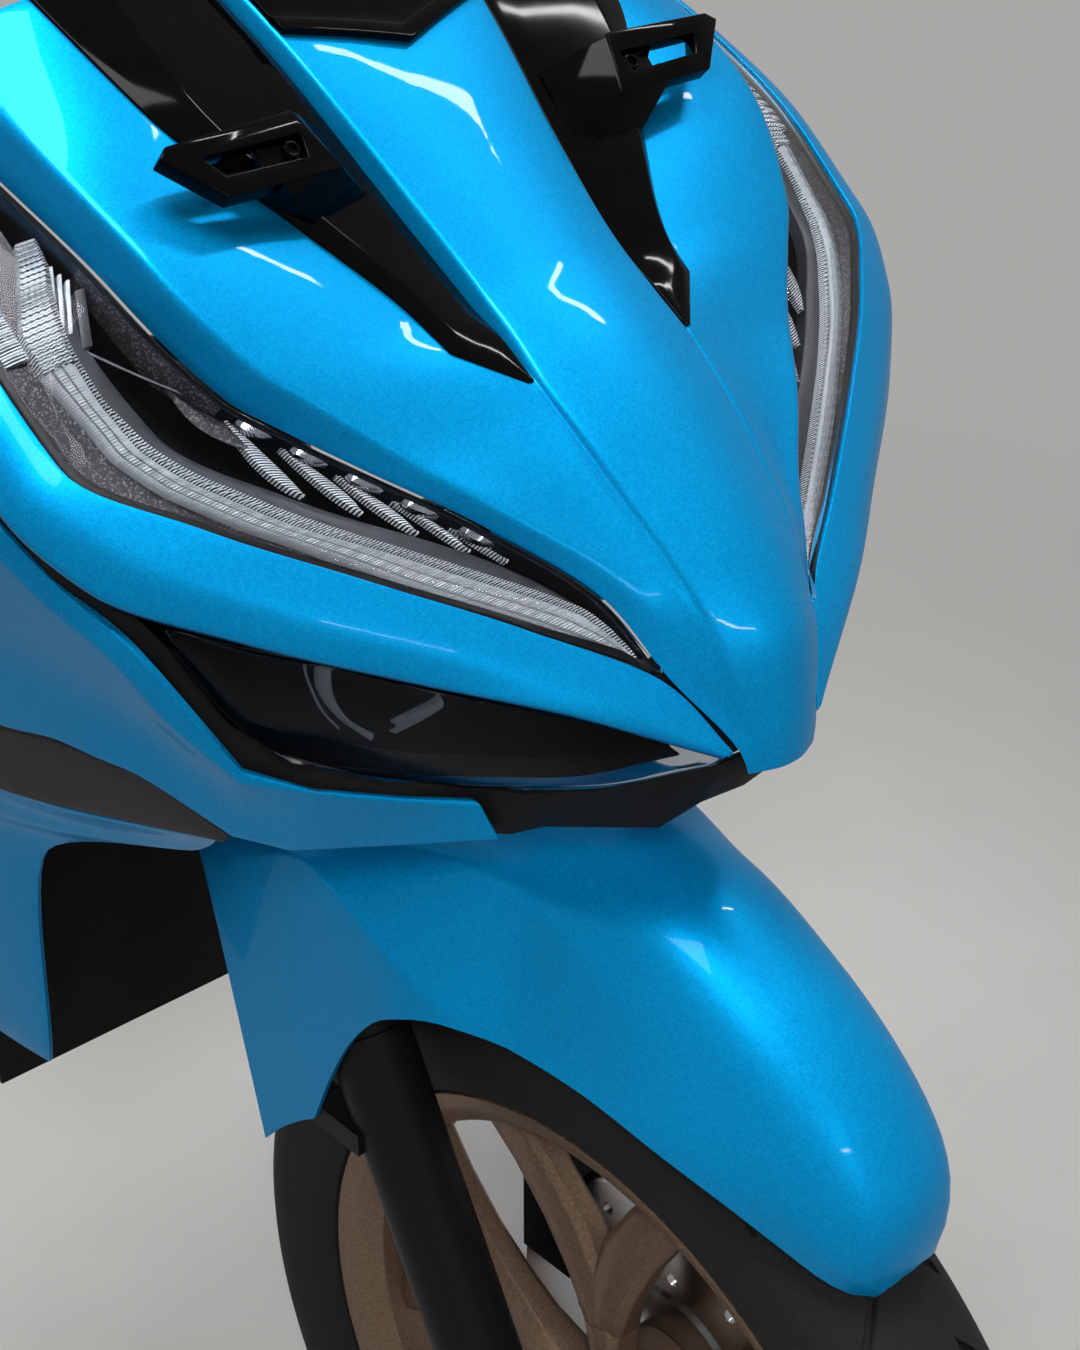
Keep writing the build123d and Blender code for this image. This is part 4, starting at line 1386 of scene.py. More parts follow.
@dataclass
class Headlamps(Bodywork):
    """Lens, seal, housing, light guide, bezels and fins of each headlamp."""

    # 430 up the slope and 250 out of it
    behind: Triple = ((250 - 430) / ROOT2, 100, (250 + 430) / ROOT2)
    lines: NoseLines = field(default_factory=NoseLines)
    ends: Pair = (285.0, 599.0)
    # the lens's wall, the spans across it, and how deep its face and its edge lie
    lens_wall: float = 2.5
    lens_spans: int = 12
    lens_deep: float = 0.25
    lens_edge_deep: float = 0.6
    # wall of the bead and of the chamber
    wall: float = 1.4
    # across the bead: mm in from the edge, depth
    bead: tuple = ((0.9, 3.2), (2.6, 3.0), (5.0, 3.6), (-2.0, 3.4), (-1.5, 3.0), (-0.9, 3.2))
    # t, depth of the chamber below the lens
    chamber: tuple = (
        (288, 3.6), (300, 12), (320, 20), (360, 30), (400, 35), (440, 38), (490, 36), (550, 28),
        (588, 16), (597, 3.8),
    )
    # t, then mm in from the low edge: guide low, its line of teeth, guide top, shelf top
    guide: tuple = (
        (293, 2.2, 3.4, 4.2, 4.6), (300, 3.5, 8.5, 10.5, 11.5), (310, 4.5, 15, 18, 19.5),
        (320, 4.5, 19, 23, 25), (340, 5, 19.5, 25, 33), (355, 6.3, 20, 25.8, 36),
        (370, 8.6, 20.6, 26, 36.3), (385, 10.6, 20.4, 27.2, 36.2), (400, 11.3, 21.5, 28, 36.5),
        (415, 14, 24, 30, 37), (433, 18.4, 27.6, 32.4, 38), (446, 18.2, 27, 30.5, 37),
        (460, 16.8, 26, 28, 35.5), (478, 14.8, 26.5, 28.3, 34.5), (490, 15.5, 28, 30, 36),
        (502, 20, 31, 33, 37.5), (513, 25, 35, 36.5, 38.5), (526, 30, 37, 38, 39),
    )
    skirt_end: Pair = (592.0, 20.0)
    # pace of the guide's ribs, mm
    guide_pace: float = 0.65
    # t from which the guide's bar is a grid, and how many lines cross it
    grid_from: float = 476.0
    grid_lines: int = 18
    # across the guide's bar: share of its width, depth, whether the ribs lower it
    bar_cuts: tuple = (
        (0.0, 11.0, 0), (0.02, 7.2, 0), (0.12, 5.6, 1), (0.2, 5.2, 1), (0.24, 8.0, 0),
        (0.28, 5.0, 1), (0.5, 4.6, 1), (0.54, 7.6, 0), (0.58, 4.7, 1), (0.84, 5.4, 1),
        (0.98, 6.8, 0), (1.0, 11.0, 0),
    )
    # across its rim: share of its width, depth, whether the teeth lower it
    rim_cuts: tuple = (
        (0.0, 11.5, 0), (0.03, 7.0, 0), (0.22, 5.6, 1), (0.42, 6.0, 1), (0.55, 7.2, 0),
        (0.78, 6.2, 0), (0.97, 8.0, 0), (1.0, 12.0, 0),
    )
    # across the rear block: mm in from the low edge, depth, whether the ribs lower it
    block_cuts: tuple = (
        (4.0, 12.0, 0), (4.6, 6.6, 0), (6.0, 5.4, 1), (9.5, 5.2, 1), (13.0, 5.8, 1), (14.4, 7.0, 0),
        (15.0, 12.0, 0),
    )
    # t from which and up to which it runs, and its ribs' pace in mm
    block_run: Triple = (483, 584, 0.8)
    # how far the ribs of the bar and of the block, the teeth and the grid's cells go down, mm
    bar_rib: float = 0.45
    block_rib: float = 0.8
    tooth: float = 1.0
    cell: float = 0.9
    # across a fin: share of its width, depth
    fin_cuts: tuple = ((0.0, 12.0), (0.03, 8.6), (0.3, 8.0), (0.6, 8.2), (0.97, 9.2), (1.0, 12.0))
    # bright lower edge of the flake bezel: t, mm from the top edge
    bright_edge: tuple = ((480, 18.9), (471, 14.3), (460, 8.4), (450, 2.4))
    # t, mm from the top edge and depth of the flake bezel's lower side
    flake: tuple = (
        (439, 1.8, 4), (446, 2.6, 6), (455, 4.6, 9.5), (460, 5.6, 11), (470, 4.6, 9.5),
        (485, 3.2, 7), (507, 1.8, 4),
    )
    # t, lower and upper side of the dark fin, mm from the top edge
    dark_fin: tuple = (
        (454, 7.5, 7.1), (443, 10.4, 4.2), (432, 11.6, 1.2), (426, 11.5, 5.5), (421, 11.0, 10.6)
    )
    # fins: (t, mm from the top edge) at the root, the left side's middle and the tip, then width
    fins: tuple = (
        ((436, 1.6), (413, 17.0), (398, 20.3), 5.2), ((419, 1.6), (398, 11.9), (384, 15.7), 4.8),
        ((402, 1.6), (383, 10.0), (369, 12.7), 4.4), ((385, 1.6), (368, 6.5), (355, 8.5), 3.4),
        ((367, 1.6), (355, 3.2), (346, 3.6), 2.0),
    )
    # bars behind the guide's end: (t, mm from the low edge) at both ends, width
    steps: tuple = (
        ((492, 28.5), (513, 37.5), 1.6), ((489, 29.8), (509, 39), 1.6),
        ((486, 31.4), (506, 40.8), 1.6), ((479, 34.0), (501, 43.0), 4.0),
    )

    def build(self) -> None:
        """Model and dress both lamps."""
        self.lens()
        self.seal()
        self.housing()
        self.light_guide()
        self.rear_block()
        self.bezels()
        self.fin_row()

    def place(self, t: float, mm: float, deep: float) -> Vector:
        """Point of the lamp's inside, mm from its low edge, or from its top edge if negative."""
        return self.lines.lamp(t, self.lines.share(t, mm), deep)

    def rim_row(self, t: float, offsets: Iterable[Pair]) -> Row:
        """Points across the lamp from (mm, depth) pairs that keep to their own edge."""
        return [self.lines.lamp(t, self.lines.edge_share(t, mm), deep) for mm, deep in offsets]

    def lens(self) -> None:
        """Clear lens, crowned across its width."""
        rows = []
        for t in spaced(*self.ends, 5):
            low, top = self.lines.edge_share(t, 0.8), self.lines.edge_share(t, -0.8)
            row = [
                self.lines.lamp(t, low + (top - low) * i / self.lens_spans, self.lens_deep)
                for i in range(1, self.lens_spans)
            ]
            ends = [self.lines.lamp(t, f, self.lens_edge_deep) for f in (low, top)]
            rows.append([ends[0], *row, ends[1]])
        self.mould_pair("headlamp_lens_shell", rows, self.lens_wall, CLEAR_LENS, CLEAR,
                        "headlamp_lens", 0.3)

    def seal(self) -> None:
        """Black bead round the lens's edge, just under it."""
        first, last = self.ends
        stations = [first + 0.5, first + 4, *spaced(first + 8, last - 8, 6), last - 4, last - 0.5]
        piece = lay_grid("lens_seal_right", [self.rim_row(t, self.bead) for t in stations])
        # The bead's middle span is open, apart from the first and last rows
        spans = len(self.bead) - 1
        window = {r * spans + spans // 2 for r in range(2, len(stations) - 3)}
        numbers = iter(range(len(piece.data.polygons)))
        choose(piece, lambda c, n: next(numbers) in window)
        bpy.ops.mesh.delete(type="FACE")
        leave_edit()
        smooth(thicken(face_away(piece, spot(*self.behind)), self.wall))
        dress_pair(piece, SEAL_BLACK, MATTE)

    def housing(self) -> None:
        """Dark chamber behind the lens, closed at both ends."""
        keys = [row[0] for row in self.chamber]
        rows = []
        for t in spaced(keys[0], keys[-1], 6):
            depth = column(self.chamber, 1, t)
            near = max(3.5, depth * 0.88)
            wide = ((2.0, 3.4), (4.0, near), (9.0, depth), (-7.0, depth), (-2.6, near), (-1.6, 3.4))
            rows.append(section(self.rim_row(t, wide), (2.0, 3.0, 3.0, 2.0), (0,) * 5, OUT, 3))
        piece = lay_grid("lamp_chamber_right", rows)
        smooth(thicken(face_away(piece, spot(*self.behind)), self.wall), 40)
        dress_pair(piece, CHAMBER_BLACK, MATTE, "headlamp_housing")

    def light_guide(self) -> None:
        """Milky bar with fine cross ribs, its clear toothed rim and the grey shelf beside it."""
        first, last = self.guide[0][0], self.guide[-1][0]

        def teeth(t: float) -> Vector:
            """Point of the guide's line of teeth at a station."""
            return self.place(t, column(self.guide, 2, t), 6.0)

        stations = paced(teeth, first, last, self.guide_pace)
        bar, grid, rim = [], [], []
        for k, t in enumerate(stations):
            low, line, top = (column(self.guide, c, t) for c in (1, 2, 3))
            ends = min(1.0, 0.15 + (t - first) / 12)
            rib = self.bar_rib if k % 2 else 0.0
            row = self.cut_row(t, low, line - low, self.bar_cuts, rib, ends)
            if t <= self.grid_from:
                bar.append(row)
            if t >= self.grid_from - 1.0:
                grid.append([row[0], *self.grid_row(t, low, line - low, k // 2 % 2), row[-1]])
            tooth = self.tooth if k % 4 < 2 else 0.0
            rim.append(self.cut_row(t, line + 0.2, top - line - 0.2, self.rim_cuts, tooth, ends))
        self.mould_pair(
            "light_guide_bar", bar, 1.2, MILKY_GUIDE, "milky_light_guide", "light_guide", 0
        )
        self.mould_pair("light_guide_rim", rim, 1.0, PRISM_CLEAR, CLEAR, rim=0)
        self.mould_pair("light_guide_grid", grid, 1.2, GRID_CLEAR, CLEAR, rim=0)
        shelf = []
        for t in spaced(first + 4, last, 4):
            top, far = column(self.guide, 3, t), column(self.guide, 4, t)
            cuts = ((top - 0.2, 12), (top + 0.1, 8.2), (far, 9.6), (far + 0.4, 16))
            points = [self.place(t, mm, deep) for mm, deep in cuts]
            shelf.append(section(points, (0.3, 0.8), (0, 0.2, 0), OUT, 2))
        self.mould_pair("lamp_shelf", shelf, 1.0, BEZEL_GREY, FLAKED, rim=0)

    def cut_row(
        self, t: float, start: float, wide: float, cuts: tuple, rib: float, ends: float
    ) -> Row:
        """Points across a bar that is wide mm from its start, its depths eased by ends."""
        depths = [(f, 5.0 + (deep + rib * lowered - 5.0) * ends) for f, deep, lowered in cuts]
        return [self.place(t, start + wide * f, deep) for f, deep in depths]

    def grid_row(self, t: float, start: float, wide: float, crossed: int) -> Row:
        """Points across the guide's grid, where every other cell is lower.

        Args:
            t: the station.
            start: mm from the low edge to the grid.
            wide: the grid's width, mm.
            crossed: 1 where the row lies in a cross groove.

        Returns:
            The row's points.
        """
        row = []
        for c in range(self.grid_lines + 1):
            deep = (self.cell if c // 2 % 2 else 0.0) + (self.cell if crossed else 0.0)
            f = 0.03 + 0.94 * (c / self.grid_lines)
            row.append(self.place(t, start + wide * f, 4.6 + deep))
        return row

    def rear_block(self) -> None:
        """Ribbed clear block along the low edge at the rear, and the bars beside the guide."""
        rows = []
        for k, t in enumerate(paced(lambda t: self.place(t, 9.0, 6.0), *self.block_run)):
            rib = self.block_rib if k % 2 else 0.0
            rows.append([self.place(t, mm, deep + rib * low) for mm, deep, low in self.block_cuts])
        self.mould_pair("lamp_rear_block", rows, 1.0, GRID_CLEAR, CLEAR, rim=0)
        parts = []
        for i, ((t0, m0), (t1, m1), wide) in enumerate(self.steps):
            half = wide / 2
            corners = ((t0, m0 - half), (t0, m0 + half), (t1, m1 + half), (t1, m1 - half))
            low = [self.place(t, mm, 12.5) for t, mm in corners]
            high = [self.place(t, mm, 7.0 + 0.5 * i) for t, mm in corners]
            parts.append(soften(block(f"step_{i}", low, high), 0.3, 2))
        wedge = parts.pop()
        wedge.name = wedge.data.name = "lamp_wedge_right"
        dress_pair(join("lamp_step_bars_right", parts), BAR_CLEAR, CLEAR)
        dress_pair(wedge, BEZEL_GREY, FLAKED)
        line = [
            (t, [self.place(t, -mm, 9.2), self.place(t, -mm - 1.0, 9.4)])
            for t, mm in reversed(self.bright_edge)
        ]
        edge = [row for _, row in drawn(line, 1.5)]
        self.mould_pair("lamp_bright_edge", edge, 0.6, DARK_CHROME, FLAKED, rim=0)

    def bezels(self) -> None:
        """Flake bezel along the top edge, flake skirt under the guide and the dark fin."""
        rows = []
        for t in spaced(self.flake[0][0], self.flake[-1][0], 3):
            mm, deep = column(self.flake, 1, t), column(self.flake, 2, t)
            cuts = ((-1.4, 3.4), (-mm, deep), (-mm - 0.4, 15.0))
            rows.append([self.place(t, *at) for at in cuts])
        self.mould_pair("flake_bezel", rows, 1.0, FLAKE_BEZEL, FLAKED, "lamp_bezel", 0)
        lows = [(row[0], row[1]) for row in self.guide] + [self.skirt_end]
        skirt = [
            [self.place(t, 1.6, 4.3), self.place(t, max(2.0, column(lows, 1, t) - 0.3), 9.0)]
            for t in spaced(lows[0][0], lows[-1][0], 5)
        ]
        fin = []
        for start, end in zip(self.dark_fin, self.dark_fin[1:]):
            for s in (0.0, 0.25, 0.5, 0.75):
                t, low, up = (a + (b - a) * s for a, b in zip(start, end))
                across = ((f, 9.5 - 1.4 * math.sin(math.pi * f)) for f in (0, 0.25, 0.5, 0.75, 1))
                fin.append([self.place(t, -low + (low - up) * f, deep) for f, deep in across])
        inside = spot(*self.behind)
        parts = [panel("skirt", skirt, inside, 1.0, 0), panel("dark_fin", fin, inside, 0.8, 0)]
        dress_pair(join("flake_skirt_right", parts), FLAKE_BEZEL, FLAKED)

    def fin_row(self) -> None:
        """Five curved clear fins, and a small chrome crescent by the root of each."""
        leaves, crescents = [], []
        inside = spot(*self.behind)
        for i, (root, left, tip, wide) in enumerate(self.fins):
            leaves.append(panel(f"fin_{i}", self.leaf(root, left, tip, wide), inside, 0.9, 0))
            rows = []
            for k in range(9):
                s = k / 8
                t = root[0] - 3.0 - 11.0 * s
                reach = 1.5 + 2.6 * math.sin(math.pi * min(1.0, 0.1 + 0.9 * s))
                cuts = ((-1.4, 4.4), (-reach, 5.6), (-reach - 0.3, 8.5))
                rows.append([self.place(t, *at) for at in cuts])
            crescents.append(panel(f"crescent_{i}", rows, inside, 0.6, 0))
        dress_pair(join("lamp_fins_right", leaves), PRISM_CLEAR, CLEAR)
        crescent_row = join("lamp_crescents_right", crescents)
        dress_pair(crescent_row, DARK_CHROME, FLAKED, "lamp_reflector")

    def leaf(self, root: Pair, left: Pair, tip: Pair, wide: float) -> list[Row]:
        """Rows of one fin: a curved leaf with a turned-down edge.

        Args:
            root: its root, as t and mm from the top edge.
            left: the middle of its left side.
            tip: its tip.
            wide: its greatest width, mm.

        Returns:
            The rows from root to tip.
        """
        run = Vector((tip[0] - root[0], tip[1] - root[1]))
        side = Vector((run.y, -run.x)).normalized()
        side = side if side.y < 0 else -side
        knot = Vector([2 * m - (a + b) / 2 for a, m, b in zip(root, left, tip)])
        rows = []
        for k in range(21):
            s = k / 20
            edge = Vector(root) * (1 - s) ** 2 + knot * (2 * s * (1 - s)) + Vector(tip) * s**2
            spread = wide * math.sin(math.pi * min(1.0, 0.06 + 0.94 * s)) ** 0.8
            row = []
            for f, deep in self.fin_cuts:
                at = edge + side * (spread * f)
                rib = 0.25 if k % 2 and 0.1 < f < 0.9 else 0.0
                row.append(self.place(at.x, -max(1.2, at.y), deep + rib))
            rows.append(row)
        return rows


@dataclass
class LowerFairing(Bodywork):
    """Turn signals, chin, side covers, inserts and leg shields.

    The tables give (x, w, z) points: the top and the low edge of each panel, station by station
    from the middle out to the side.
    """

    behind: Triple = (-150, 60, 430)
    behind_chin: Triple = (-160, 0, 430)
    behind_shield: Triple = (-250, 0, 230)
    turn: tuple = (
        ((72, 24, 423), (60, 25, 410)), ((54, 60, 438), (37, 60, 405)),
        ((37, 90, 451), (8, 89, 404)), ((15, 121, 463), (-20, 119, 409)),
        ((-6, 150, 475), (-38, 148, 422)), ((-24, 176, 485), (-42, 170, 446)),
        ((-38, 195, 494), (-45, 191, 483)),
    )
    chin: tuple = (
        ((62, 0, 408), (58, 0, 390)), ((60, 22, 409), (56, 22, 391)),
        ((52, 34, 408), (46, 35, 380)), ((36, 60, 403), (14, 66, 379)),
        ((18, 80, 402), (8, 78, 378)), ((0, 90, 402), (-2, 88.5, 379)),
        ((-19, 117, 407), (-14, 115, 399)), ((-37, 147, 420), (-30.5, 144.5, 408)),
        ((-44, 169, 443), (-42, 166.5, 420.5)), ((-50, 187, 478), (-50, 187.5, 451)),
        ((-62, 203, 504), (-58, 202.5, 478)), ((-93, 214, 527), (-84, 209.5, 492)),
        ((-131, 217, 558), (-116, 214, 506)), ((-178, 208, 592), (-190, 217.5, 538)),
    )
    side_cover: tuple = (
        ((6, 93, 399), (9, 85, 379)), ((-7, 116, 404), (-24, 114, 373)),
        ((-23, 146, 413), (-48, 142, 372)), ((-36, 171, 425), (-64, 158, 378)),
        ((-43, 193, 458), (-92, 187, 409)), ((-52, 208, 486), (-121, 195, 411)),
        ((-82, 215, 500), (-158, 200, 404)), ((-112, 220, 516), (-215, 203, 395)),
        ((-190, 224, 548), (-285, 205, 385)),
    )
    insert: tuple = (
        ((-66, 158, 377), (-69, 158, 373)), ((-93, 186, 407), (-116, 178.5, 370.4)),
        ((-122, 194, 409), (-150, 190, 367)), ((-159, 199, 402), (-178, 196, 364)),
        ((-216, 202, 393), (-232, 200, 358)), ((-286, 204, 383), (-300, 202, 350)),
    )
    # with a fold between its edges
    leg_shield: tuple = (
        ((-74, 158, 372.2), (-150, 189.5, 366.2), (-300, 202, 349.3)),
        ((-98, 151, 352), (-165, 178, 342), (-345, 196, 320)),
        ((-198, 165, 308), (-260, 178, 300), (-362, 190, 292)),
        ((-250, 150, 150), (-310, 161, 158), (-400, 168, 160)),
    )
    # turn signal's guide, behind the lens: outer and inner edge of its left arm, low and upper
    # edge of its right arm, and the line beside them
    left_arm: tuple = (
        ((-15, 148.2, 472.2), (-12.5, 144.7, 470.7)), ((-19.6, 145.2, 460.4), (-16.5, 141.7, 460)),
        ((-21.9, 139.6, 448.6), (-19.5, 137, 448.6)), ((-21.9, 132.4, 438.2), (-20, 131.6, 439.9)),
        ((-19.7, 122.5, 427.5), (-17.5, 123.6, 432.2)),
    )
    right_arm: tuple = (
        ((-11.6, 117.4, 432.1), (-8.9, 119.5, 439.1)), ((0.4, 112.3, 442.1), (0.9, 115.3, 447.2)),
        ((7.1, 109.8, 448.5), (7.7, 111.8, 452.2)),
    )
    side_line: tuple = (
        ((-21.1, 150.6, 471.1),), ((-23.9, 146, 459.7),), ((-27.1, 137.7, 442.6),),
        ((-27, 131.3, 433.5),),
    )

    def build(self) -> None:
        """Model and dress every lower panel."""
        self.turn_signals()
        self.chin_trim()
        self.side_covers()
        self.inserts()
        self.leg_shields()

    def turn_signals(self) -> None:
        """Smoked lens, black backing and the V-shaped clear guide of each turn signal."""
        drop = Vector((-2, 0, -1.5)) * MM
        rows = [(key, [top + drop, low]) for key, (top, low) in numbered(self.turn)]
        lens = moulded(rows, 0.16, (), (2.2,), FORWARD, 8)
        self.mould_pair("turn_lens_shell", lens, 2.4, SMOKED_LENS, "smoked_lens", "turn_lens", 0.3)
        depths = (14, *[26] * (len(lens[0]) - 2), 14)
        back = [[p - FORWARD * deep * MM for p, deep in zip(row, depths)] for row in lens]
        self.mould_pair("turn_backing", back, 1.2, CHAMBER_BLACK, MATTE, rim=0)
        arms = [self.guide_arm(arm) for arm in (self.left_arm, self.right_arm)]
        line = [(key, [p, p + RIGHT * 0.9 * MM]) for key, (p,) in numbered(self.side_line)]
        inside = spot(*self.behind)
        arms.append(panel("side_line", [row for _, row in drawn(line, 0.15)], inside, 0.8, 0))
        dress_pair(join("turn_guide_right", arms), MILKY_GUIDE, CLEAR)

    def guide_arm(self, edges: tuple) -> Piece:
        """One arm of a turn signal's guide, with a toothed edge.

        Args:
            edges: its two edges, station by station.

        Returns:
            The arm.
        """
        lip, swell = FORWARD * 3 * MM, FORWARD * 0.8 * MM
        rows = []
        for k, (_, (low, top)) in enumerate(drawn(numbered(edges), 0.07)):
            tip = low.lerp(top, 1.0 if k % 2 else 0.82)
            rows.append([low - lip, low, low.lerp(tip, 0.5) + swell, tip, tip - lip])
        return panel("arm", rows, spot(*self.behind), 0.9, 0)

    def chin_trim(self) -> None:
        """Matte chin from one side of the fairing to the other."""
        swell = FORWARD * 1.5 * MM
        half = [[top, top.lerp(low, 0.42) + swell, low] for _, (top, low) in numbered(self.chin)]
        whole = [mirrored(row) for row in reversed(half[1:])] + half
        keyed = [(float(i), row) for i, row in enumerate(whole)]
        corners = [key for key, _ in keyed]
        rows = moulded(keyed, 0.2, (2.0,), (0.2, 0.2), FORWARD, corners=corners)
        piece = panel("chin_shell", rows, spot(*self.behind_chin), 3.0)
        dress(piece, MATTE_BLACK, FAIRING, MATTE, "chin_trim")

    def side_covers(self) -> None:
        """Painted side cover: lip under the turn signal, crisp corner, ridge and soft hollow."""
        rows = []
        for key, (a, b) in numbered(self.side_cover):
            # 0 where the cover looks forward, 1 where it looks to the side
            turn = min(1.0, max(0.0, (key - 2) / 2))
            way_out = (FORWARD * (1 - turn) + RIGHT * turn).normalized()
            tall = (b - a).length / MM
            band = min(0.3, (2.0 + 7.0 * turn) / tall)
            ridge = a.lerp(b, band) + way_out * 0.6 * MM
            top_in = a - way_out * (0.5 + 3.5 * turn) * MM
            hollow = a.lerp(b, 0.55) - way_out * 6.0 * turn * MM
            top_lip, low_lip = top_in - way_out * 3 * MM, b - way_out * 4 * MM
            rows.append((key, [top_lip, top_in, ridge, hollow, b, low_lip]))
        eases, corners = (1.2, 2.0, 16.0, 1.6), (1.0, 2.0, 3.0)
        faces = moulded(rows, 0.14, eases, (0,) * 5, RIGHT, corners=corners)
        self.mould_pair("side_cover_shell", faces, 1.5, PEARL_BLUE, PAINTED, "side_cover")

    def inserts(self) -> None:
        """Grained grey insert under each side cover."""
        rows = moulded(numbered(self.insert), 0.12, (), (1.2,), RIGHT, 6)
        self.mould_pair("side_insert_shell", rows, 2.4, GRAIN_GREY, "grained_grey_plastic",
                        "side_insert", 0.8)

    def leg_shields(self) -> None:
        """Painted panel behind the wheel on each side."""
        rows = moulded(numbered(self.leg_shield), 0.1, (16.0,), (1.5, 1.5), RIGHT, 6)
        piece = panel("leg_shield_shell_right", rows, spot(*self.behind_shield), 2.4)
        dress_pair(piece, PEARL_BLUE, PAINTED, "leg_shield")


@dataclass
class Mudguard:
    """Front mudguard with its creased sides and rear tabs."""

    # angle round the axle, crown r, then (w, r) of shoulder, crease, fold and edge
    table: tuple = (
        (52, 262, (12, 261), (17, 259), (17.6, 257.5), (18, 256)),
        (53.5, 277, (18, 273), (25, 264), (26.4, 258.5), (27, 255)),
        (56, 292, (24, 285), (33, 268), (33.7, 259), (34, 254)),
        (60, 304, (29, 296), (38.5, 274), (39.8, 260), (40, 253)),
        (66, 317, (31, 307), (42, 283), (47, 262), (48, 253)),
        (74, 328, (34, 317), (44, 291), (54, 263), (56, 253)),
        (84, 340, (35, 329), (48, 307), (57, 262), (60, 253)),
        (92, 343, (36, 332), (50, 326), (63, 264), (65, 255)),
        (96.5, 344, (39, 334), (54, 332), (83, 275), (83.5, 267)),
        (103, 345, (46, 337), (64, 335), (90, 301), (90.5, 262)),
        (110, 348, (62, 341), (82, 337), (90.6, 331), (91, 244)),
        (117, 350, (75, 345), (88, 339), (90.6, 330), (91, 222)),
        (125, 350, (80, 346), (90, 338), (90.6, 329), (91, 201)),
    )
    # angle, easing of the shoulder, the crease and the fold, mm
    eases: tuple = (
        (52, 6, 8, 1.5), (66, 12, 18, 4), (74, 13, 14, 4), (84, 13, 9, 4), (92, 12, 5, 2.5),
        (105, 12, 2.5, 1.5), (125, 12, 2.5, 1.5),
    )
    # angles of the rear tab's stations
    tab: tuple = (129, 133, 137, 141)
    crowns: tuple = (0.2, 0.4, 0.5, 0.8)
    wall: float = 2.4
    leg_y: float = 66.0
    leg_gap_r: float = 21.0

    def build(self) -> None:
        """Model and dress the mudguard."""
        keyed = []
        for angle, crown, *points in self.table:
            across = ((0, crown), *points)
            keyed.append((float(angle), [round_axle(angle, r, w) for w, r in across]))
        rows = drawn(keyed, 1.5)
        last, end = rows[-1]
        (fold_w, fold_r), (edge_w, edge_r) = self.table[-1][-2:]
        for angle in self.tab:
            # behind the wheel only the tab goes on, under the fold
            gone = (angle - last) / (self.tab[-1] - last)
            fold = round_axle(last + 2.5 * gone, fold_r - 29 * gone, fold_w)
            rows.append((last, [*end[:-2], fold, round_axle(angle, edge_r, edge_w)]))
        whole = []
        crowns = (*self.crowns, *reversed(self.crowns))
        for angle, row in rows:
            eases = [column(self.eases, k, angle) for k in (3, 2, 1)]
            eases = (*eases, 20.0, *reversed(eases))
            whole.append(section(both_sides(row), eases, crowns, UP))
        piece = panel("mudguard_shell", whole, AXLE.copy(), self.wall, 0)
        for side in (1, -1):
            foot = AXLE + (STEER_FWD * -FORK_OFFSET + RIGHT * self.leg_y * side) * MM
            cut(piece, rod("leg_cut", foot + STEER * 0.1, foot + STEER * 0.38, self.leg_gap_r, 48))
        smooth(piece, SOFT)
        dress(piece, PEARL_BLUE, "steering", PAINTED, "mudguard")


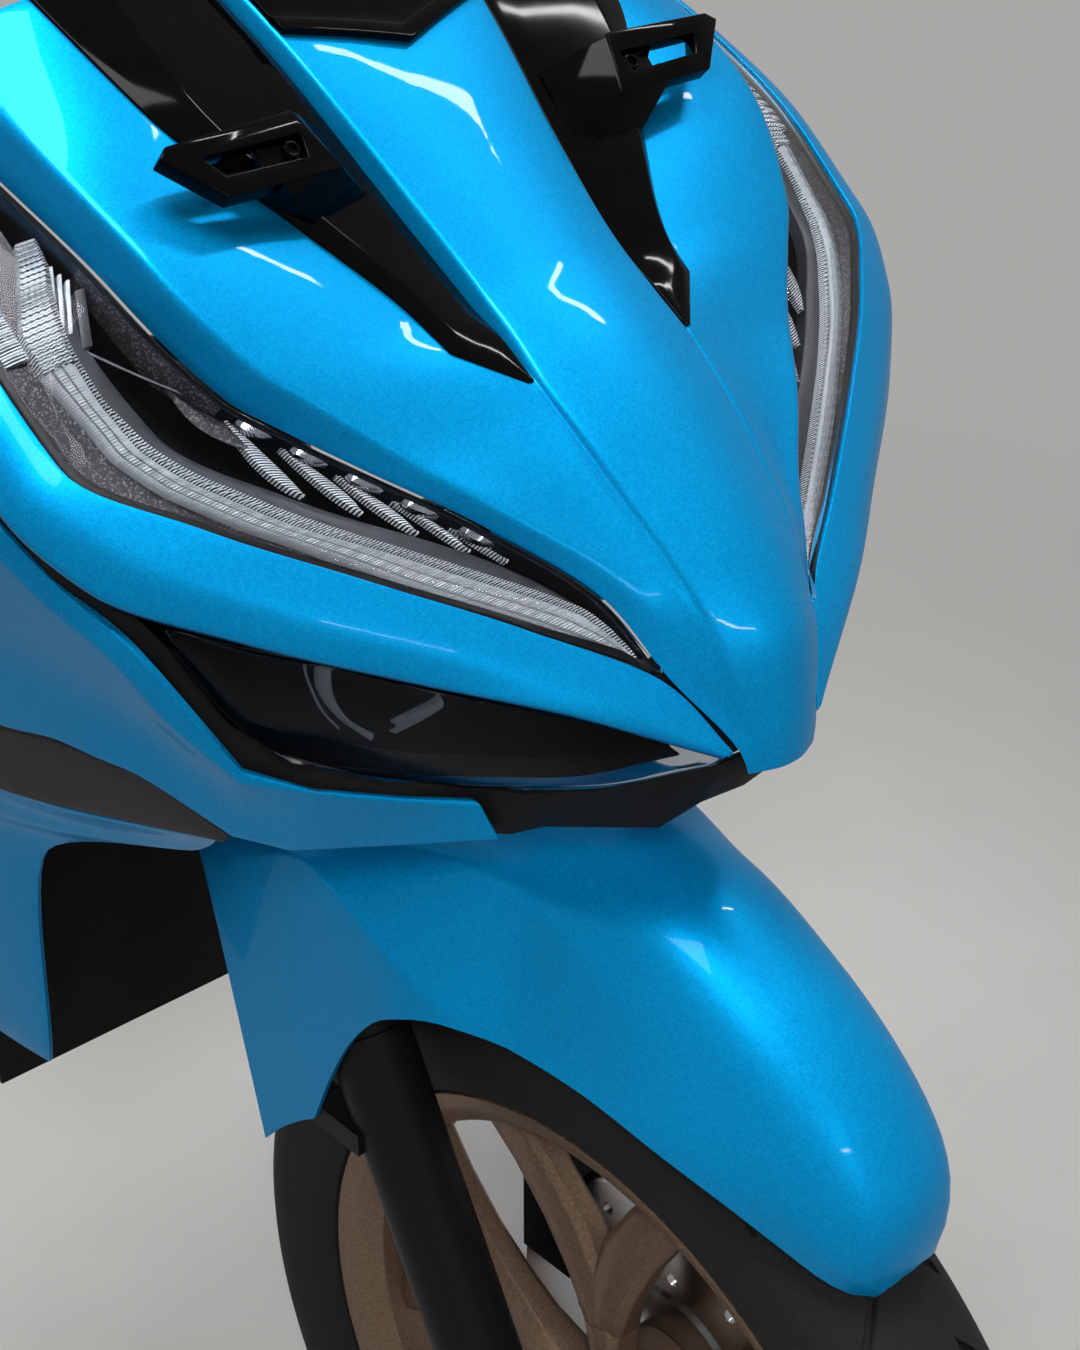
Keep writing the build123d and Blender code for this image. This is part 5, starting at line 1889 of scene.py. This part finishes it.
@dataclass
class Wheel:
    """Tyre with its tread, cast rim and drilled disc."""

    tyre_r: float = 250.0
    half_w: float = 40.0
    bead_r: float = 178.0
    rim_half: float = 27.0
    spokes: int = 5
    first_spoke: float = 98.0
    # spans round the tyre, and how many of them one repeat of the tread takes
    tread_steps: int = 240
    tread_repeat: int = 12
    # grooves: the span that each takes in the repeat, and where it starts and ends, mm from the
    # middle; then the share of the radius that they leave, and the tread's height on the side
    grooves: tuple = ((0, 8, 36), (7, 14, 27))
    groove_floor: float = 0.986
    tread_height: float = 19.0
    # how far the grooves sweep back, in radians, up to which distance from the middle
    sweep: Pair = (0.16, 34.0)
    disc_r: float = 105.0
    # holes round the disc, the radii that they take in turn, and their own radius
    holes: int = 24
    hole_rings: tuple = (62, 76, 90)
    hole_r: float = 3.6
    bolts: int = 5
    bolt_ring: float = 38.0

    def build(self) -> None:
        """Model and dress the wheel."""
        self.tyre()
        self.rim()
        self.disc()

    def tyre(self) -> None:
        """Spin the tyre, sink its tread grooves and sweep them back like a chevron."""
        b, r = self.bead_r, self.tyre_r
        side = (
            (b, 20), (b, 27), (b + 6.5, 27), (b + 8, 31.5), (b + 12, 34), (b + 22, 37.2),
            (b + 32, 39), (b + 40, self.half_w), (r - 24, self.half_w), (r - 20.5, 38.4),
            (r - 15, 34.8), (r - 10, 30.2), (r - 6, 24.6), (r - 3, 18), (r - 1.2, 11), (r - 0.3, 5),
        )
        inner = ((b + 14, 26), (b + 34, 32), (r - 22, 31), (r - 11, 16), (r - 9, 6))
        outer = on_both_sides(side)
        outer.insert(len(side), (r, 0.0))
        profile = outer + on_both_sides(inner)[::-1]
        piece = turned("tyre_tread", profile, self.tread_steps)
        step = math.tau / self.tread_steps

        def in_groove(centre: Vector, _: Vector) -> bool:
            """Tell whether a face of the tread sinks into a groove.

            Args:
                centre: middle of the face.
                _: its normal, unused.

            Returns:
                True for a face in a groove.
            """
            offset = (centre - AXLE) / MM
            if math.hypot(offset.x, offset.z) < self.tyre_r - self.tread_height:
                return False
            across = abs(offset.y)
            half_on = self.tread_repeat // 2 if offset.y > 0 else 0
            span = int((math.atan2(offset.z, offset.x) % math.tau) / step)
            place = (span + half_on) % self.tread_repeat
            return any(place == at and near < across < far for at, near, far in self.grooves)

        choose(piece, in_groove)
        bpy.ops.mesh.extrude_region_move()
        sunk = (self.groove_floor, 1.0, self.groove_floor)
        bpy.ops.transform.resize(value=sunk, center_override=AXLE)
        leave_edit()
        sweep, reach = self.sweep
        for vertex in piece.data.vertices:
            offset = vertex.co - AXLE
            turn = sweep * min(1.0, abs(offset.y) / (reach * MM)) ** 1.3
            vertex.co = AXLE + Matrix.Rotation(turn, 3, "Y") @ offset
        close_up(piece)
        soften(piece, 0.5, 1, 40)
        dress(piece, TYRE_RUBBER, "wheel", "tyre_rubber", "tyre")

    def rim(self) -> None:
        """Cast rim: barrel, hub and five spokes that split in two."""
        b, h = self.bead_r, self.rim_half
        barrel = (
            (b - 15, 17), (b - 9, h - 5), (b - 6, h - 1), (b - 2, h + 2), (b + 6, h + 4),
            (b + 6, h + 1.2), (b + 1, h), (b, h - 1), (b, 20), (b - 9, 14),
        )
        hub = ((6.05, 31), (12, 31), (13, 29), (22, 29), (23.5, 31), (27, 31), (27, 18), (31, 13))
        parts = [
            turned(name, on_both_sides(half), steps)
            for name, half, steps in (("barrel", barrel, 96), ("hub", hub, 64))
        ]
        for part in parts:
            soften(part, 0.8, 2, 30)
        for k in range(self.spokes):
            base = self.first_spoke + 360 * k / self.spokes
            parts.append(self.bar(base, base, 24, 58, (12, 12), (15, 14)))
            for lean in (-1, 1):
                parts.append(self.bar(base, base + 23 * lean, 52, 166, (12, 4.5), (13, 9)))
        piece = join("wheel_cast_rim", parts)
        dress(piece, BRONZE_ALLOY, "wheel", "bronze_painted_alloy", "wheel_rim")

    def bar(self, a0: float, a1: float, r0: float, r1: float, spread: Pair, half: Pair) -> Piece:
        """One tapered spoke bar with a ridge along both faces.

        Args:
            a0: angle of its inner end.
            a1: angle of its outer end.
            r0: radius of its inner end.
            r1: radius of its outer end.
            spread: half angle at each end.
            half: half thickness at each end.

        Returns:
            The bar.
        """
        rows = []
        for k in range(5):
            s = k / 4
            angle, r = a0 + (a1 - a0) * s, r0 + (r1 - r0) * s
            wide, deep = (a + (b - a) * s for a, b in (spread, half))
            face = ((-1.0, 0.45), (-0.7, 0.8), (0.0, 1.0), (0.7, 0.8), (1.0, 0.45))
            ring = [(f, -g) for f, g in face] + [(f, g) for f, g in reversed(face)]
            ring.append(ring[0])
            rows.append([round_axle(angle + wide * f, r, deep * g) for f, g in ring])
        piece = lay_grid("spoke_bar", rows)
        close_up(piece)
        bpy.ops.object.mode_set(mode="EDIT")
        bpy.ops.mesh.select_mode(type="EDGE")
        bpy.ops.mesh.select_all(action="DESELECT")
        bpy.ops.mesh.select_non_manifold()
        bpy.ops.mesh.edge_face_add()
        leave_edit()
        close_up(piece)
        return soften(piece, 0.9, 2, 18)

    def disc(self) -> None:
        """Drilled brake disc on its carrier, on the rider's left."""
        left = ((45, 33), (self.disc_r, 33), (self.disc_r, 37), (45, 37))
        piece = turned("brake_disc_drilled", left, 96)
        drills = []
        for k in range(self.holes):
            r = self.hole_rings[k % len(self.hole_rings)]
            hole, half = round_axle(360 * k / self.holes, r, -35), RIGHT * 0.01
            drills.append(rod(f"drill_{k}", hole + half, hole - half, self.hole_r, 16))
        cut(piece, join("drills", drills))
        soften(piece, 0.3, 1, 40)
        carrier = turned("carrier", ((21, 31), (50, 31), (50, 33.2), (21, 33.2)), 48)
        bolts = []
        for k in range(self.bolts):
            at = round_axle(360 * k / self.bolts, self.bolt_ring, -33)
            bolts.append(soften(rod(f"disc_bolt_{k}", at, at - RIGHT * 0.0045, 5.5, 6), 0.5, 2))
        whole = join("brake_disc_shell", [piece, carrier, *bolts])
        dress(whole, GROUND_STEEL, "wheel", "ground_steel", "brake_disc")


@dataclass
class Chassis:
    """Frame, fork and small parts that keep their CAD shape and take a finish."""

    finishes: tuple = (
        (CHASSIS_BLACK, ("frame_tube", "fairing_stay", "steering_stem")),
        (MATTE_BLACK, ("splash_panel",)),
        (GREY_ALLOY, ("fork_leg_right", "fork_leg_left", "caliper")),
        (GROUND_STEEL, ("fork_tube_right", "fork_tube_left")),
        (SEAL_RUBBER, ("dust_seal_right", "dust_seal_left")),
        (ZINC, ("axle",)),
    )

    def build(self) -> None:
        """Give each carried-over node its finish."""
        for finish, names in self.finishes:
            for name in names:
                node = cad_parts[name]
                node.data.materials.clear()
                node.data.materials.append(finish_of(finish))
                log.info("%s: %s", name, finish.name)


def main() -> None:
    """Build the stage and every sub-assembly in order."""
    bodywork = (NoseFairing(), Headlamps(), LowerFairing(), Mudguard())
    for part in (Studio(), *bodywork, Wheel(), Chassis()):
        log.info("== %s", type(part).__name__)
        part.build()
    clear_selection()


if __name__ == "__main__":
    main()
